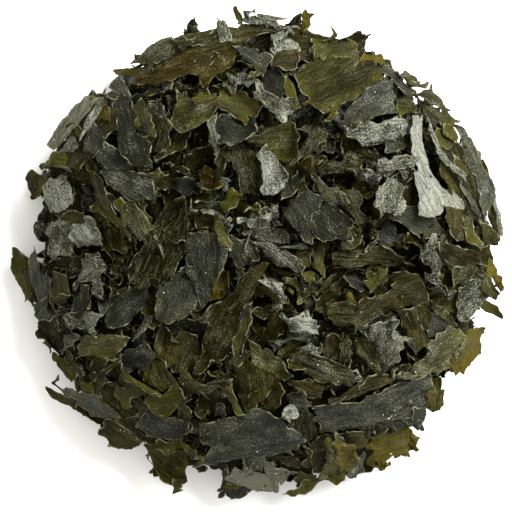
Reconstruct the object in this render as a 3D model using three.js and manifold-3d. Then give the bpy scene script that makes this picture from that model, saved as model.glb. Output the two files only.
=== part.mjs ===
/**
 * A heap of dried, salted kombu flakes, lying on a flat surface.
 *
 * The heap is one closed solid: an uneven mound with a flat underside, and the flakes that lie on it
 * and jut out of its edge, joined to it as bent plates. Millimetres, +Z up. The origin is the centre
 * of the bounding box's underside, on the surface that the heap lies on.
 */
import * as THREE from "three";
import { mergeVertices } from "three/addons/utils/BufferGeometryUtils.js";
import Module from "manifold-3d";

// The mound under the flakes.
const MOUND_RADIUS = 45;
const MOUND_HEIGHT = 24;
const SHOULDER_POWER = 3.8; // how far out the broad top reaches
const SIDE_POWER = 0.62; // how steeply the side comes down
const MOUND_RINGS = 8;
const MOUND_SPOKES = 40;
const RING_CROWDING = 0.55; // below 1 the rings crowd together towards the edge
const OUTLINE_WAVES = [
  { lobes: 2, depth: 0.7, turn: 0.6 },
  { lobes: 3, depth: 0.6, turn: 2.1 },
  { lobes: 7, depth: 0.5, turn: 1.2 },
  { lobes: 13, depth: 0.5, turn: 0.3 },
];
const LUMPS = [
  { along: 0.16, across: 0.05, depth: 0.8, phase: 0.7 },
  { along: -0.07, across: 0.19, depth: 0.8, phase: 2.6 },
  { along: 0.31, across: -0.22, depth: 0.5, phase: 4.2 },
];

// The flakes.
const PLATE_THICKNESS = 1.2; // a flake with the smaller scraps that lie against it
const STATION_SPACING = 7; // length of flake between two rows of corners
const LEAST_STATIONS = 2;
const RIBBON_WIDTH = 7; // narrower flakes have no middle line of corners
const TEAR = 0.2; // share of the half width by which a torn edge wanders
const STEEPEST_REST = 24; // degrees; the larger flakes level out where the mound is steeper
const STEEPEST_LEAN = 62; // the smaller ones lean against its side
const SLOPE_STEP = 1.5; // reach over which the mound's slope is taken
const LEAST_SLOPE = 1e-6; // below this the mound counts as level
const WELD_DISTANCE = 1e-4; // corners closer than this are one
const GROUND_SIZE = 180; // side of the block that trims the heap level underneath

// The smaller flakes that lean against the side, in rows one above the other.
const SIDE_ROWS = [
  { share: 0.99, count: 15 },
  { share: 0.93, count: 12 },
];
const SIDE_LENGTH = [7, 13];
const SIDE_WIDTH = [3.5, 6];
const SIDE_HEADING = 35; // how far a leaning flake turns from lying along the side
const SIDE_TILT = 14;
const SIDE_LIFT = 0.6;
const SEED = 41;

/** Half width of each form of flake, as a share of its greatest, from its root (0) to its tip (1). */
const FORMS = {
  board: (share) => 1 - 0.12 * share,
  blade: (share) => Math.max(0.1, Math.min(1, 2.2 * (1 - share))),
  leaf: (share) => Math.max(0.14, Math.sin(Math.PI * (0.12 + 0.8 * share))),
  wedge: (share) => 1 - 0.85 * share,
  spade: (share) => (share > 0.5 ? 1 : 0.52),
  frond: (share) => 0.82 + 0.18 * Math.cos(9 * share),
};

/**
 * The larger flakes, lowest first within each stretch of the heap: form, x, y of the middle, length,
 * width, heading of the tip, pitch up towards the tip, roll up to the left of the heading, lift above
 * the mound, arch of the middle above the ends. Millimetres and degrees.
 */
const LARGE_FLAKES = [
  // North rim
  ["leaf", -8.5, 37.5, 9, 5, 170, 0, 12, 0.2, 0.6],
  ["blade", -16, 37.5, 24, 6.5, 193, -4, -14, 0.9, 1.2],
  ["board", -20, 41.3, 12, 3, 27, 3, 12, 0.6, 0.3],
  ["blade", -11, 43.6, 8, 2.2, 23, 2, 10, 0.4, 0.2],
  ["wedge", -7, 44.8, 7, 2.4, 100, 12, 0, 0.5, 0],
  ["board", 1.5, 45.2, 14, 3.4, -10, 2, -18, 0.4, 0.8],
  ["board", 8, 44.4, 9, 2.6, -18, 0, 20, 0.5, 0.3],
  ["frond", 16, 41.4, 10, 4, -22, 4, -12, 0.4, 0.5],
  ["leaf", 6.5, 38.2, 7, 4.4, 12, 3, 10, 0.3, 0.4],
  ["wedge", -2.2, 38.6, 8, 5.4, 200, 5, 8, 0.7, 0.3],
  // North-west
  ["board", -38, 25.5, 13, 4.6, 52, 4, -12, 0.6, 0.4],
  ["leaf", -33.4, 26.5, 11, 2.4, 60, 0, 48, 1.2, 0.3],
  ["wedge", -28.2, 33.4, 6, 4.6, -80, 6, 8, 0.6, 0],
  ["blade", -25, 24, 14, 5.2, -62, 4, -16, 0.8, 0.8],
  ["board", -17, 20.5, 13, 4.6, 84, 4, 18, 0.8, 0.5],
  ["leaf", -12, 29.6, 8, 4.6, 24, 4, -8, 0.6, 0.4],
  ["board", -30.6, 10, 20, 5.4, 125, 6, 24, 0.9, 0.8],
  ["wedge", -25.4, 13.6, 14, 9.5, -38, 4, -14, 1.4, 0.6],
  ["blade", -23.4, 7.6, 10, 3.4, -55, -4, 12, 1.4, 0.4],
  ["board", -39.6, 11.6, 8, 6.6, -68, -4, -8, 1, 0.3],
  ["frond", -44.2, 13.6, 6.5, 4, 118, 2, 0, 0.2, 0],
  ["frond", -34, 5.2, 8.5, 7, 30, 6, -10, 0.8, 0.7],
  ["leaf", -38.6, 1, 9, 5, 52, 3, 12, 0.8, 0.5],
  // West rim
  ["leaf", -47, -4.4, 11, 4.4, 112, 0, 10, 0.4, 0.4],
  ["leaf", -44.2, -7.6, 16, 4.4, -72, 2, -16, 1, 0.8],
  ["board", -40.6, -8, 10, 4, 96, 4, 18, 0.6, 0.3],
  ["frond", -35, -4.2, 9.5, 7, 40, 4, 12, 1, 0.8],
  ["leaf", -28.6, -5.6, 9, 5, -84, 2, -16, 0.8, 0.5],
  ["board", -34.6, -13.6, 9, 5, 48, 4, 8, 0.8, 0.4],
  ["board", -30, -18.8, 10.5, 5.2, 5, 4, 8, 1, 0.4],
  ["wedge", -38.2, -18, 6, 4, 50, 4, 0, 0.7, 0],
  ["board", -39.4, -22.6, 13, 3, -46, 0, 30, 0.4, 0.3],
  // Crown
  ["board", -15.4, -8, 9, 7, -30, 2, 4, 0.5, 0.4],
  ["blade", -19.8, 0.8, 24, 8.6, 64, 2, 10, 1.2, 1],
  ["spade", -10.6, -2.6, 14, 9, 106, 4, -8, 0.9, 0.6],
  ["leaf", -5.2, -2.6, 11, 4, -74, -2, 22, 0.2, 0.4],
  ["board", -9.6, 8, 10, 4.6, -34, 3, 20, 0.8, 0.6],
  ["leaf", -10.4, 14, 10, 4, 12, 2, -22, 0.7, 0.6],
  ["board", -2.6, 15.2, 11, 5.4, -82, 3, 12, 0.8, 0.4],
  ["wedge", 2.8, 14, 9, 8, -84, 2, -10, 1.3, 0.5],
  ["leaf", -5, 24.2, 9, 5.2, 12, 2, 16, 0.7, 0.9],
  ["board", -3.5, 29.4, 8.5, 4.8, -10, 3, 8, 0.8, 0.4],
  ["frond", 4, 28.2, 9.5, 4.6, 14, 4, -12, 0.8, 0.6],
  ["leaf", 3.2, 33.4, 7, 5, 80, 2, 4, 0.4, 0.2],
  ["board", 5, 22.4, 11.5, 8, 45, 4, 10, 1.2, 0.5],
  ["frond", 2.8, 3.6, 9, 6.4, -30, 4, 12, 0.9, 0.6],
  ["board", -1, 6.6, 8, 2.6, -14, 0, 16, 1.3, 0.2],
  ["blade", 6, -1.6, 10, 3.4, -34, 0, 14, 1, 0.3],
  ["board", 13.6, 11.6, 13.5, 4.6, -32, 3, -16, 0.9, 0.5],
  ["board", 11.4, 6, 14, 10, -24, 2, -6, 1.5, 0.5],
  ["leaf", 16.8, 18.8, 7, 5.4, 40, 4, 0, 0.5, 0.3],
  // North-east
  ["spade", 15.4, 34, 17, 12.5, 196, 3, 6, 1, 0.7],
  ["blade", 22, 30, 13, 6, 38, 6, -14, 1.3, 0.6],
  ["blade", 26, 35.8, 9, 3, -42, 2, 16, 0.6, 0.3],
  ["board", 23.4, 23.8, 13.5, 5, 8, 6, -10, 1.4, 0.3],
  ["leaf", 34.4, 28.6, 7, 4.4, -40, 0, 8, 0.6, 0.3],
  // East rim
  ["leaf", 45, 10, 20, 2, -77, 0, 62, 0.6, 0.4],
  ["leaf", 43, 13.8, 20, 4.4, -74, 2, 34, 0.9, 0.5],
  ["leaf", 39.4, 13.4, 20, 2.6, -64, 2, 56, 0.6, 0.4],
  ["board", 40, 4, 9, 5, -62, -4, 14, 0.7, 0.4],
  ["spade", 34, 17.6, 21, 8, -74, 3, -6, 1.7, 0.4],
  ["board", 28.8, 17.4, 8, 3.4, 6, 4, 10, 1, 0.2],
  ["leaf", 25.8, 11, 9, 7, 76, 4, -8, 1.1, 0.8],
  ["wedge", 31, 6.2, 12.5, 7.5, -18, 2, 12, 1, 0.4],
  ["board", 23.4, -1.2, 15, 4.2, -4, 2, -6, 0.6, 0.4],
  ["frond", 35.2, -3.6, 16, 4.6, -54, 2, 10, 1, 0.6],
  ["spade", 27, -9.4, 19, 8.6, 22, 4, 4, 1.5, 0.6],
  ["wedge", 42, -9, 11, 8, 214, 0, 8, 0.9, 0.3],
  ["frond", 45.6, -5.2, 10.5, 4, -78, 0, -8, 0.5, 0.4],
  ["board", 46.4, -11, 6, 1.8, -36, 2, 0, 0.2, 0],
  // South-east
  ["board", 35, -14, 9, 6, -36, 2, -8, 0.5, 0.3],
  ["frond", 41.4, -20, 9, 5.6, -62, 0, 4, 0.4, 0.4],
  ["board", 35.4, -19.2, 14.5, 6.4, 35, 4, -8, 1.1, 0.5],
  ["board", 24.8, -17.8, 12, 7, -60, 4, -10, 0.8, 0.5],
  ["wedge", 18.4, -5.8, 8, 4.6, -22, 4, 8, 0.5, 0.2],
  ["leaf", 17, -19.4, 6.5, 4.4, -72, 4, -20, 1, 0.8],
  ["board", 21, -26.2, 14, 3.4, 15, 2, 12, 0.7, 0.3],
  ["board", 24.6, -34.2, 16, 4.4, 8, 0, -18, 0.3, 0.3],
  ["board", 22.6, -30.2, 25, 7.6, 12, 3, -6, 1.4, 0.5],
  ["frond", 26.8, -38.6, 12, 8, 14, 0, 4, 0.4, 0.4],
  // South
  ["frond", 15.6, -39.8, 12, 5.6, -8, 2, 10, 0.7, 0.8],
  ["leaf", 10, -45, 9.5, 2.6, 20, 0, 14, 0.3, 0.2],
  ["board", -3, -44.2, 12, 4.6, -8, 0, 12, 0.6, 0.4],
  ["wedge", 4.8, -42.6, 7.5, 4.8, 14, 4, -8, 0.8, 0.2],
  ["board", -0.6, -26.4, 13.5, 8.6, -58, 2, 6, 0.8, 0.5],
  ["board", -1.2, -36, 22, 8.4, 4, 3, 8, 1.4, 0.5],
  ["frond", 7.8, -32.4, 9.5, 6, -58, 4, 10, 1, 0.6],
  ["board", 12.6, -22.4, 14.5, 5.6, -12, 4, 12, 1.1, 0.4],
  ["board", 3.2, -21.6, 12, 3.8, -40, 3, -10, 0.9, 0.3],
  ["frond", 7.2, -17, 10, 4, -8, 0, 10, 0.5, 0.4],
  ["board", 6.4, -13.2, 9, 4.8, 2, 5, -12, 1.3, 0.2],
  ["frond", 11, -7.8, 12, 8, -22, 3, 8, 0.8, 0.7],
  ["board", -3.6, -16.6, 14, 3.4, 76, 4, 14, 0.9, 0.5],
  ["board", -8, -13, 24, 8, 57, 4, -8, 1.5, 0.8],
  ["leaf", -10.8, -25.8, 13, 4, -8, 0, 18, 0.8, 0.7],
  // South-west
  ["board", -24.4, -20.4, 8.5, 6, 22, 4, 8, 0.8, 0.3],
  ["wedge", -23.4, -26.6, 10.5, 8, -22, 4, -8, 1, 0.4],
  ["wedge", -18, -29.4, 9, 6, 38, 2, 10, 0.7, 0.3],
  ["frond", -34, -31.2, 13, 4, -38, -2, -12, 0.3, 0.4],
  ["leaf", -33.6, -29.8, 18, 5, 162, 0, 12, 1, 0.6],
  ["board", -27.6, -36.2, 10.5, 5, -34, -2, 14, 0.5, 0.6],
  ["frond", -18.4, -42, 9, 6, -64, -4, 6, 0.4, 0.4],
  ["frond", -16, -37.4, 15, 4.4, -4, 0, 16, 0.9, 0.6],
];

const wasm = await Module();
wasm.setup();

/** Seeded numbers from 0 to 1, so that the torn edges come out the same each time. */
function makeRandom(seed) {
  let state = seed >>> 0;
  return () => {
    state = (state + 0x6d2b79f5) >>> 0;
    let mixed = Math.imul(state ^ (state >>> 15), 1 | state);
    mixed = (mixed + Math.imul(mixed ^ (mixed >>> 7), 61 | mixed)) ^ mixed;
    return ((mixed ^ (mixed >>> 14)) >>> 0) / 4294967296;
  };
}

function moundRadius(angle) {
  return OUTLINE_WAVES.reduce(
    (radius, wave) => radius + wave.depth * Math.cos(wave.lobes * angle - wave.turn),
    MOUND_RADIUS,
  );
}

/** Height of the mound's skin above the underside; 0 at its edge. */
function moundHeight(x, y) {
  const share = Math.min(1, Math.hypot(x, y) / moundRadius(Math.atan2(y, x)));
  const dome = MOUND_HEIGHT * (1 - share ** SHOULDER_POWER) ** SIDE_POWER;
  const lumps = LUMPS.reduce(
    (sum, lump) => sum + lump.depth * Math.sin(lump.along * x + lump.across * y + lump.phase),
    0,
  );
  return dome + lumps * (1 - share);
}

/** Outward normal of the mound, levelled out where its side is steeper than the flake lies. */
function restingNormal(x, y, steepest) {
  const slopeX = (moundHeight(x + SLOPE_STEP, y) - moundHeight(x - SLOPE_STEP, y)) / (2 * SLOPE_STEP);
  const slopeY = (moundHeight(x, y + SLOPE_STEP) - moundHeight(x, y - SLOPE_STEP)) / (2 * SLOPE_STEP);
  const steepness = Math.hypot(slopeX, slopeY);
  const level = Math.min(1, Math.tan(THREE.MathUtils.degToRad(steepest)) / Math.max(steepness, LEAST_SLOPE));
  return new THREE.Vector3(-slopeX * level, -slopeY * level, 1).normalize();
}

/** A solid from a closed geometry that carries positions alone. */
function solidFromGeometry(geometry) {
  const welded = mergeVertices(geometry, WELD_DISTANCE);
  return new wasm.Manifold(new wasm.Mesh({
    numProp: 3,
    vertProperties: Float32Array.from(welded.attributes.position.array),
    triVerts: Uint32Array.from(welded.index.array),
  }));
}

function solidFromFaces(points, faces) {
  const geometry = new THREE.BufferGeometry();
  geometry.setAttribute("position", new THREE.Float32BufferAttribute(points.flat(), 3));
  geometry.setIndex(faces.flat());
  return solidFromGeometry(geometry);
}

/** The mound: rings of corners from the middle to the edge, closed by a flat fan underneath. */
function buildMound() {
  const points = [[0, 0, moundHeight(0, 0)]];
  for (let ring = 1; ring <= MOUND_RINGS; ring++) {
    const share = (ring / MOUND_RINGS) ** RING_CROWDING;
    for (let spoke = 0; spoke < MOUND_SPOKES; spoke++) {
      const angle = (2 * Math.PI * spoke) / MOUND_SPOKES;
      const radius = share * moundRadius(angle);
      const x = radius * Math.cos(angle);
      const y = radius * Math.sin(angle);
      points.push([x, y, ring === MOUND_RINGS ? 0 : moundHeight(x, y)]);
    }
  }
  const underside = points.push([0, 0, 0]) - 1;
  const corner = (ring, spoke) => 1 + (ring - 1) * MOUND_SPOKES + (spoke % MOUND_SPOKES);
  const faces = [];
  for (let spoke = 0; spoke < MOUND_SPOKES; spoke++) {
    faces.push([0, corner(1, spoke), corner(1, spoke + 1)]);
    for (let ring = 1; ring < MOUND_RINGS; ring++) {
      faces.push([corner(ring, spoke), corner(ring + 1, spoke), corner(ring + 1, spoke + 1)]);
      faces.push([corner(ring, spoke), corner(ring + 1, spoke + 1), corner(ring, spoke + 1)]);
    }
    faces.push([underside, corner(MOUND_RINGS, spoke + 1), corner(MOUND_RINGS, spoke)]);
  }
  return solidFromFaces(points, faces);
}

/** One flake: a torn, arched plate, laid on the mound at its place, at most so steep. */
function buildFlake(flake, steepest, random) {
  const [form, x, y, length, width, heading, pitch, roll, lift, arch] = flake;
  const stations = Math.max(LEAST_STATIONS, Math.round(length / STATION_SPACING));
  const lines = width < RIBBON_WIDTH ? [-1, 1] : [-1, 0, 1];
  const pose = new THREE.Matrix4().compose(
    new THREE.Vector3(x, y, moundHeight(x, y) + lift),
    new THREE.Quaternion()
      .setFromUnitVectors(new THREE.Vector3(0, 0, 1), restingNormal(x, y, steepest))
      .multiply(new THREE.Quaternion().setFromEuler(new THREE.Euler(
        THREE.MathUtils.degToRad(roll),
        THREE.MathUtils.degToRad(-pitch),
        THREE.MathUtils.degToRad(heading),
        "ZYX",
      ))),
    new THREE.Vector3(1, 1, 1),
  );
  const points = [];
  const layers = [PLATE_THICKNESS / 2, -PLATE_THICKNESS / 2];
  const tears = Array.from({ length: (stations + 1) * lines.length }, () => 1 + TEAR * (2 * random() - 1));
  for (const layer of layers) {
    for (let station = 0; station <= stations; station++) {
      const share = station / stations;
      for (let line = 0; line < lines.length; line++) {
        const tear = tears[station * lines.length + line];
        const across = (lines[line] * width * FORMS[form](share) * tear) / 2;
        const along = (share - 0.5) * length + (station % stations ? 0 : (1 - tear) * width);
        const rise = arch * (1 - (2 * share - 1) ** 2) + layer;
        const point = new THREE.Vector3(along, across, rise).applyMatrix4(pose);
        points.push([point.x, point.y, point.z]);
      }
    }
  }
  const layerSize = (stations + 1) * lines.length;
  const corner = (layer, station, line) => layer * layerSize + station * lines.length + line;
  const faces = [];
  const quad = (a, b, c, d) => faces.push([a, b, c], [a, c, d]);
  const lastLine = lines.length - 1;
  for (let station = 0; station < stations; station++) {
    for (let line = 0; line < lastLine; line++) {
      const cell = (layer) => [
        corner(layer, station, line),
        corner(layer, station + 1, line),
        corner(layer, station + 1, line + 1),
        corner(layer, station, line + 1),
      ];
      quad(...cell(0));
      quad(...cell(1).reverse());
    }
    quad(corner(1, station, 0), corner(1, station + 1, 0), corner(0, station + 1, 0), corner(0, station, 0));
    quad(
      corner(0, station, lastLine),
      corner(0, station + 1, lastLine),
      corner(1, station + 1, lastLine),
      corner(1, station, lastLine),
    );
  }
  for (let line = 0; line < lastLine; line++) {
    quad(corner(0, 0, line), corner(0, 0, line + 1), corner(1, 0, line + 1), corner(1, 0, line));
    quad(
      corner(1, stations, line),
      corner(1, stations, line + 1),
      corner(0, stations, line + 1),
      corner(0, stations, line),
    );
  }
  return solidFromFaces(points, faces);
}

/** Smaller flakes round the side, each turned and tilted its own way. */
function sideFlakes(random) {
  const between = ([low, high]) => low + (high - low) * random();
  const formNames = Object.keys(FORMS);
  return SIDE_ROWS.flatMap(({ share, count }) => Array.from({ length: count }, (_, index) => {
    const angle = (2 * Math.PI * (index + random())) / count;
    const radius = share * moundRadius(angle);
    const alongSide = THREE.MathUtils.radToDeg(angle) + 90;
    return [
      formNames[Math.floor(random() * formNames.length)],
      radius * Math.cos(angle),
      radius * Math.sin(angle),
      between(SIDE_LENGTH),
      between(SIDE_WIDTH),
      alongSide + between([-SIDE_HEADING, SIDE_HEADING]),
      between([-SIDE_TILT, SIDE_TILT]),
      between([-SIDE_TILT, SIDE_TILT]),
      SIDE_LIFT,
      0,
    ];
  }));
}

/** The part of a solid above the surface that the heap lies on. */
function trimToGround(solid) {
  const ground = new THREE.BoxGeometry(GROUND_SIZE, GROUND_SIZE, GROUND_SIZE);
  ground.translate(0, 0, -GROUND_SIZE / 2);
  ground.deleteAttribute("normal");
  ground.deleteAttribute("uv");
  return solid.subtract(solidFromGeometry(ground));
}

/** The outer body alone: pockets shut in between crossing flakes are filled. */
function outerBody(solid) {
  return solid.decompose().reduce((largest, body) => (body.volume() > largest.volume() ? body : largest));
}

function geometryOf(solid) {
  const mesh = solid.getMesh();
  const geometry = new THREE.BufferGeometry();
  geometry.setAttribute("position", new THREE.Float32BufferAttribute(mesh.vertProperties, 3));
  geometry.setIndex(Array.from(mesh.triVerts));
  return geometry;
}

/** Moves the heap so that the middle of its box's underside is the origin. */
function centreOnGround(geometry) {
  geometry.computeBoundingBox();
  const { min, max } = geometry.boundingBox;
  return geometry.translate(-(min.x + max.x) / 2, -(min.y + max.y) / 2, -min.z);
}

const random = makeRandom(SEED);
const leaning = sideFlakes(random).map((flake) => buildFlake(flake, STEEPEST_LEAN, random));
const lying = LARGE_FLAKES.map((flake) => buildFlake(flake, STEEPEST_REST, random));
const heapSolid = [...leaning, ...lying].reduce((heap, flake) => heap.add(flake), buildMound());

const kombuHeap = new THREE.Mesh(
  centreOnGround(geometryOf(outerBody(trimToGround(heapSolid)))),
  new THREE.MeshStandardMaterial({ color: 0x45402a, roughness: 0.62, metalness: 0 }),
);
kombuHeap.name = "kombu_heap";

const group = new THREE.Group();
group.add(kombuHeap);

export default group;
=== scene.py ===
"""Dried, salted kombu: a round heap of loose kelp flakes on a pale surface.

Each flake is a torn piece of thin, leathery sheet. It is cut out flat, wrinkled and bent, and then
let down onto the heap until it touches what lies under it. The small flakes go down first over a
dark core, then the listed large ones, then shreds into the gaps, and at the end crumbs and grains
of salt over all of it. Flakes are worked out in millimetres and written as meshes in metres.
"""
import logging
import math
from dataclasses import dataclass, field
from enum import Enum

import bpy
import numpy as np
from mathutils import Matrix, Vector, geometry

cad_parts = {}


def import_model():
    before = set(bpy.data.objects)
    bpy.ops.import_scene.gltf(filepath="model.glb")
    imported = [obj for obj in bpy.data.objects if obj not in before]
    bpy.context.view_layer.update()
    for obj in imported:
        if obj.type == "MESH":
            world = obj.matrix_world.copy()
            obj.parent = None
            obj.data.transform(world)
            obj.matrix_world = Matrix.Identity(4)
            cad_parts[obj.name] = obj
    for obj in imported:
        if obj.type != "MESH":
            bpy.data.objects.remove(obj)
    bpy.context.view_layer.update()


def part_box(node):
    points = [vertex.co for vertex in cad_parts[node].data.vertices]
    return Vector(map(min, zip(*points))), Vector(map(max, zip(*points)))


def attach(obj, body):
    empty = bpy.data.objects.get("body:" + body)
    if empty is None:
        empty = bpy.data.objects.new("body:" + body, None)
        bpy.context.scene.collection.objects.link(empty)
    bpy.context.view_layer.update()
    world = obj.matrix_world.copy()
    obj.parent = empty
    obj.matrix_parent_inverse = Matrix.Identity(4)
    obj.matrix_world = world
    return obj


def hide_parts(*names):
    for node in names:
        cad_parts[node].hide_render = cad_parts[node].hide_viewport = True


LOG = logging.getLogger("kombu")
MM = 0.001
BODY = "root"
HEAP_NODE = "kombu_heap"
SEED = 20817
FLAKE_MAP = "FlakeMap"
BAKE_MAP = "OFBake"
# The mound without its jutting flakes: its middle from the box's, in mm, and its radius and height
# as shares of the box's length and height; then the core's radius as a share of the mound's.
MOUND_SHIFT = (-0.3, -0.63)
MOUND_SPAN, MOUND_RISE = 0.45, 0.84
CORE_REACH = 0.96
# Steps that a bend is worked out in; jags along a frayed side, and where the first of them lies, in mm.
BEND_STEPS = 97
JAGS, JAGS_BEFORE = 160, 24
Array = np.ndarray
Random = np.random.Generator
Socket = bpy.types.NodeSocket
Colour = tuple[float, float, float]
Place = tuple[float, float, float]


# ---- the ways flakes differ


class Outline(Enum):
    """Corners round a flake, as shares of its length and width from its middle."""

    BOARD = ((-0.5, -0.42), (-0.1, -0.5), (0.46, -0.46), (0.5, 0.1), (0.4, 0.5), (-0.2, 0.44), (-0.48, 0.5))
    BLADE = (
        (-0.5, -0.3), (-0.2, -0.5), (0.2, -0.42), (0.5, -0.05), (0.28, 0.2), (-0.05, 0.5), (-0.42, 0.42),
    )
    LEAF = ((-0.5, 0.0), (-0.25, -0.42), (0.1, -0.5), (0.5, 0.04), (0.2, 0.38), (-0.15, 0.5))
    WEDGE = ((-0.5, -0.5), (0.0, -0.3), (0.5, 0.0), (0.1, 0.26), (-0.44, 0.5), (-0.36, 0.1))
    HATCHET = (
        (-0.5, -0.3), (-0.44, -0.36), (-0.36, -0.25), (-0.22, -0.21), (-0.08, -0.17), (0.06, -0.23),
        (0.18, -0.2), (0.25, -0.33), (0.4, -0.33), (0.42, -0.1), (0.4, 0.08), (0.42, 0.33), (0.3, 0.48),
        (0.15, 0.52), (0.12, 0.4), (0.13, 0.17), (0.0, 0.18), (-0.2, 0.22), (-0.28, 0.15), (-0.3, 0.0),
        (-0.48, -0.18),
    )
    CHIP = ((-0.5, -0.1), (-0.3, -0.5), (0.2, -0.46), (0.5, -0.2), (0.4, 0.36), (0.04, 0.5), (-0.34, 0.4))
    FROND = (
        (-0.5, -0.1), (-0.3, -0.5), (-0.18, -0.26), (0.0, -0.5), (0.1, -0.24), (0.28, -0.5), (0.34, -0.2),
        (0.5, -0.1), (0.36, 0.16), (0.44, 0.5), (0.1, 0.34), (-0.1, 0.5), (-0.3, 0.28), (-0.44, 0.36),
    )
    STRAP = ((-0.5, -0.3), (-0.46, -0.5), (0.1, -0.44), (0.44, -0.5), (0.5, 0.2), (0.3, 0.46), (-0.44, 0.4))
    NEEDLE = ((-0.5, -0.3), (0.0, -0.5), (0.5, 0.0), (0.1, 0.4), (-0.4, 0.5))


@dataclass(frozen=True)
class Temper:
    """How far a flake has warped in drying.

    Args:
        ribs: Depth of the lengthwise pleats, in mm.
        blister: Depth of the broad swells, in mm.
        ruffle: Depth of the frill along the edges, in mm.
        arch: Degrees that it bends along its length.
        cup: Degrees that it bends across its width.
        edge: Degrees that a long edge turns up.
        fold: Degrees of a sharp fold along it.
        creases: Number of short sharp bends in any direction.
        corners: Number of corners that turn up or down.
    """

    ribs: float = 0.14
    blister: float = 0.75
    ruffle: float = 0.2
    arch: float = 22
    cup: float = 26
    edge: float = 55
    fold: float = 0
    creases: int = 0
    corners: int = 1


FLAT = Temper()
CUPPED = Temper(blister=0.9, arch=38, cup=60, creases=1, corners=2)
EDGED = Temper(arch=20, edge=110, corners=2)
RIBBED = Temper(ribs=0.5)
FOLDED = Temper(ribs=0.2, arch=12, cup=10, edge=40, fold=80)
CRUMPLED = Temper(ribs=0.3, blister=1.4, ruffle=0.6, arch=34, cup=40, edge=80, creases=6, corners=4)
WAVY = Temper(ribs=0.2, blister=1.2, ruffle=0.8, arch=30, cup=34, creases=3, corners=3)
CURLED = Temper(ribs=0.2, blister=0.6, arch=30, cup=150)


class Kind(Enum):
    """One mesh piece for each kind of flake, named by its finish and shape."""

    OLIVE = "olive_chips"
    BROWN = "brown_blades"
    SLATE = "slate_chips"
    STRAPS = "slate_straps"
    SALTED = "salted_chips"
    RIBS = "ribbed_strips"
    AMBER = "amber_fronds"
    SHREDS = "dark_shreds"


OLIVE, BROWN, SLATE, STRAPS, SALTED, RIBS, AMBER, SHREDS = Kind


# ---- sheet


@dataclass
class ValueNoise:
    """Smooth random relief over a plane, the same each time for the same generator.

    Args:
        rng: Source of the lattice values.
        side: Number of lattice steps after which it repeats.
    """

    rng: Random
    side: int = 64
    table: Array = field(init=False)

    def __post_init__(self) -> None:
        """Fills the table of lattice values."""
        self.table = self.rng.random((self.side, self.side)) * 2 - 1

    def at(self, x: Array, y: Array) -> Array:
        """Noise between -1 and 1.

        Args:
            x: Places along the first axis, in lattice steps.
            y: Places along the second axis.

        Returns:
            One value for each place.
        """
        left, low = np.floor(x).astype(int), np.floor(y).astype(int)
        u, v = x - left, y - low
        u, v = u * u * (3 - 2 * u), v * v * (3 - 2 * v)
        near = self._lattice(left, low) * (1 - u) + self._lattice(left + 1, low) * u
        far = self._lattice(left, low + 1) * (1 - u) + self._lattice(left + 1, low + 1) * u
        return near * (1 - v) + far * v

    def _lattice(self, i: Array, j: Array) -> Array:
        """Lattice values, which repeat in both directions."""
        return self.table[i % self.side, j % self.side]


@dataclass(frozen=True)
class Bend:
    """A bend of a sheet about a line in its own plane.

    Args:
        heading: Direction along which the sheet turns, in degrees from its length.
        place: Where the turn is, in mm from the middle.
        spread: Length over which it turns, in mm.
        turn: How far it turns, in degrees.
    """

    heading: float
    place: float
    spread: float
    turn: float

    def apply(self, points: Array) -> Array:
        """Bends the points without stretching the sheet.

        Args:
            points: Corners of the sheet, one row each.

        Returns:
            The corners after the bend.
        """
        angle = math.radians(self.heading)
        cosine, sine = math.cos(angle), math.sin(angle)
        along = points[:, 0] * cosine + points[:, 1] * sine
        across = points[:, 1] * cosine - points[:, 0] * sine
        ruler = np.linspace(along.min() - 0.01, along.max() + 0.01, BEND_STEPS)
        step = ruler[1] - ruler[0]
        bell = np.exp(-0.5 * ((ruler - self.place) / self.spread) ** 2)
        slope = np.cumsum(bell / (self.spread * math.sqrt(2 * math.pi))) * step * math.radians(self.turn)
        slope -= np.interp(0, ruler, slope)
        run = np.cumsum(np.cos(slope)) * step
        rise = np.cumsum(np.sin(slope)) * step
        run -= np.interp(0, ruler, run)
        rise -= np.interp(0, ruler, rise)
        tilt = np.interp(along, ruler, slope)
        bent_along = np.interp(along, ruler, run) - points[:, 2] * np.sin(tilt)
        bent_rise = np.interp(along, ruler, rise) + points[:, 2] * np.cos(tilt)
        x, y = bent_along * cosine - across * sine, bent_along * sine + across * cosine
        return np.stack([x, y, bent_rise], axis=1)


def unit_rows(vectors: Array, least: float = 1e-12) -> Array:
    """Scales each row to a length of one.

    Args:
        vectors: The rows.
        least: Added to each length, so that a row of noughts stays as it is.

    Returns:
        The scaled rows.
    """
    return vectors / (np.linalg.norm(vectors, axis=1, keepdims=True) + least)


def border_sides(faces: Array) -> Array:
    """Sides that belong to one triangle only.

    Args:
        faces: Triangles, corners counter-clockwise.

    Returns:
        The two corners of each such side, in the order of its triangle.
    """
    sides = np.vstack([faces[:, [0, 1]], faces[:, [1, 2]], faces[:, [2, 0]]])
    count = int(faces.max()) + 1
    return sides[~np.isin(sides[:, 0] * count + sides[:, 1], sides[:, 1] * count + sides[:, 0])]


@dataclass
class FlakeMesh:
    """A finished flake in its own frame: length along X, width along Y, millimetres.

    Args:
        points: Corners.
        faces: Triangles, faces outward.
        flat: Each corner's place on the sheet before it was bent.
        inset: Distance from the torn edge, in mm.
        under: 1 for each triangle of the underside.
    """

    points: Array
    faces: Array
    flat: Array
    inset: Array
    under: Array


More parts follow.
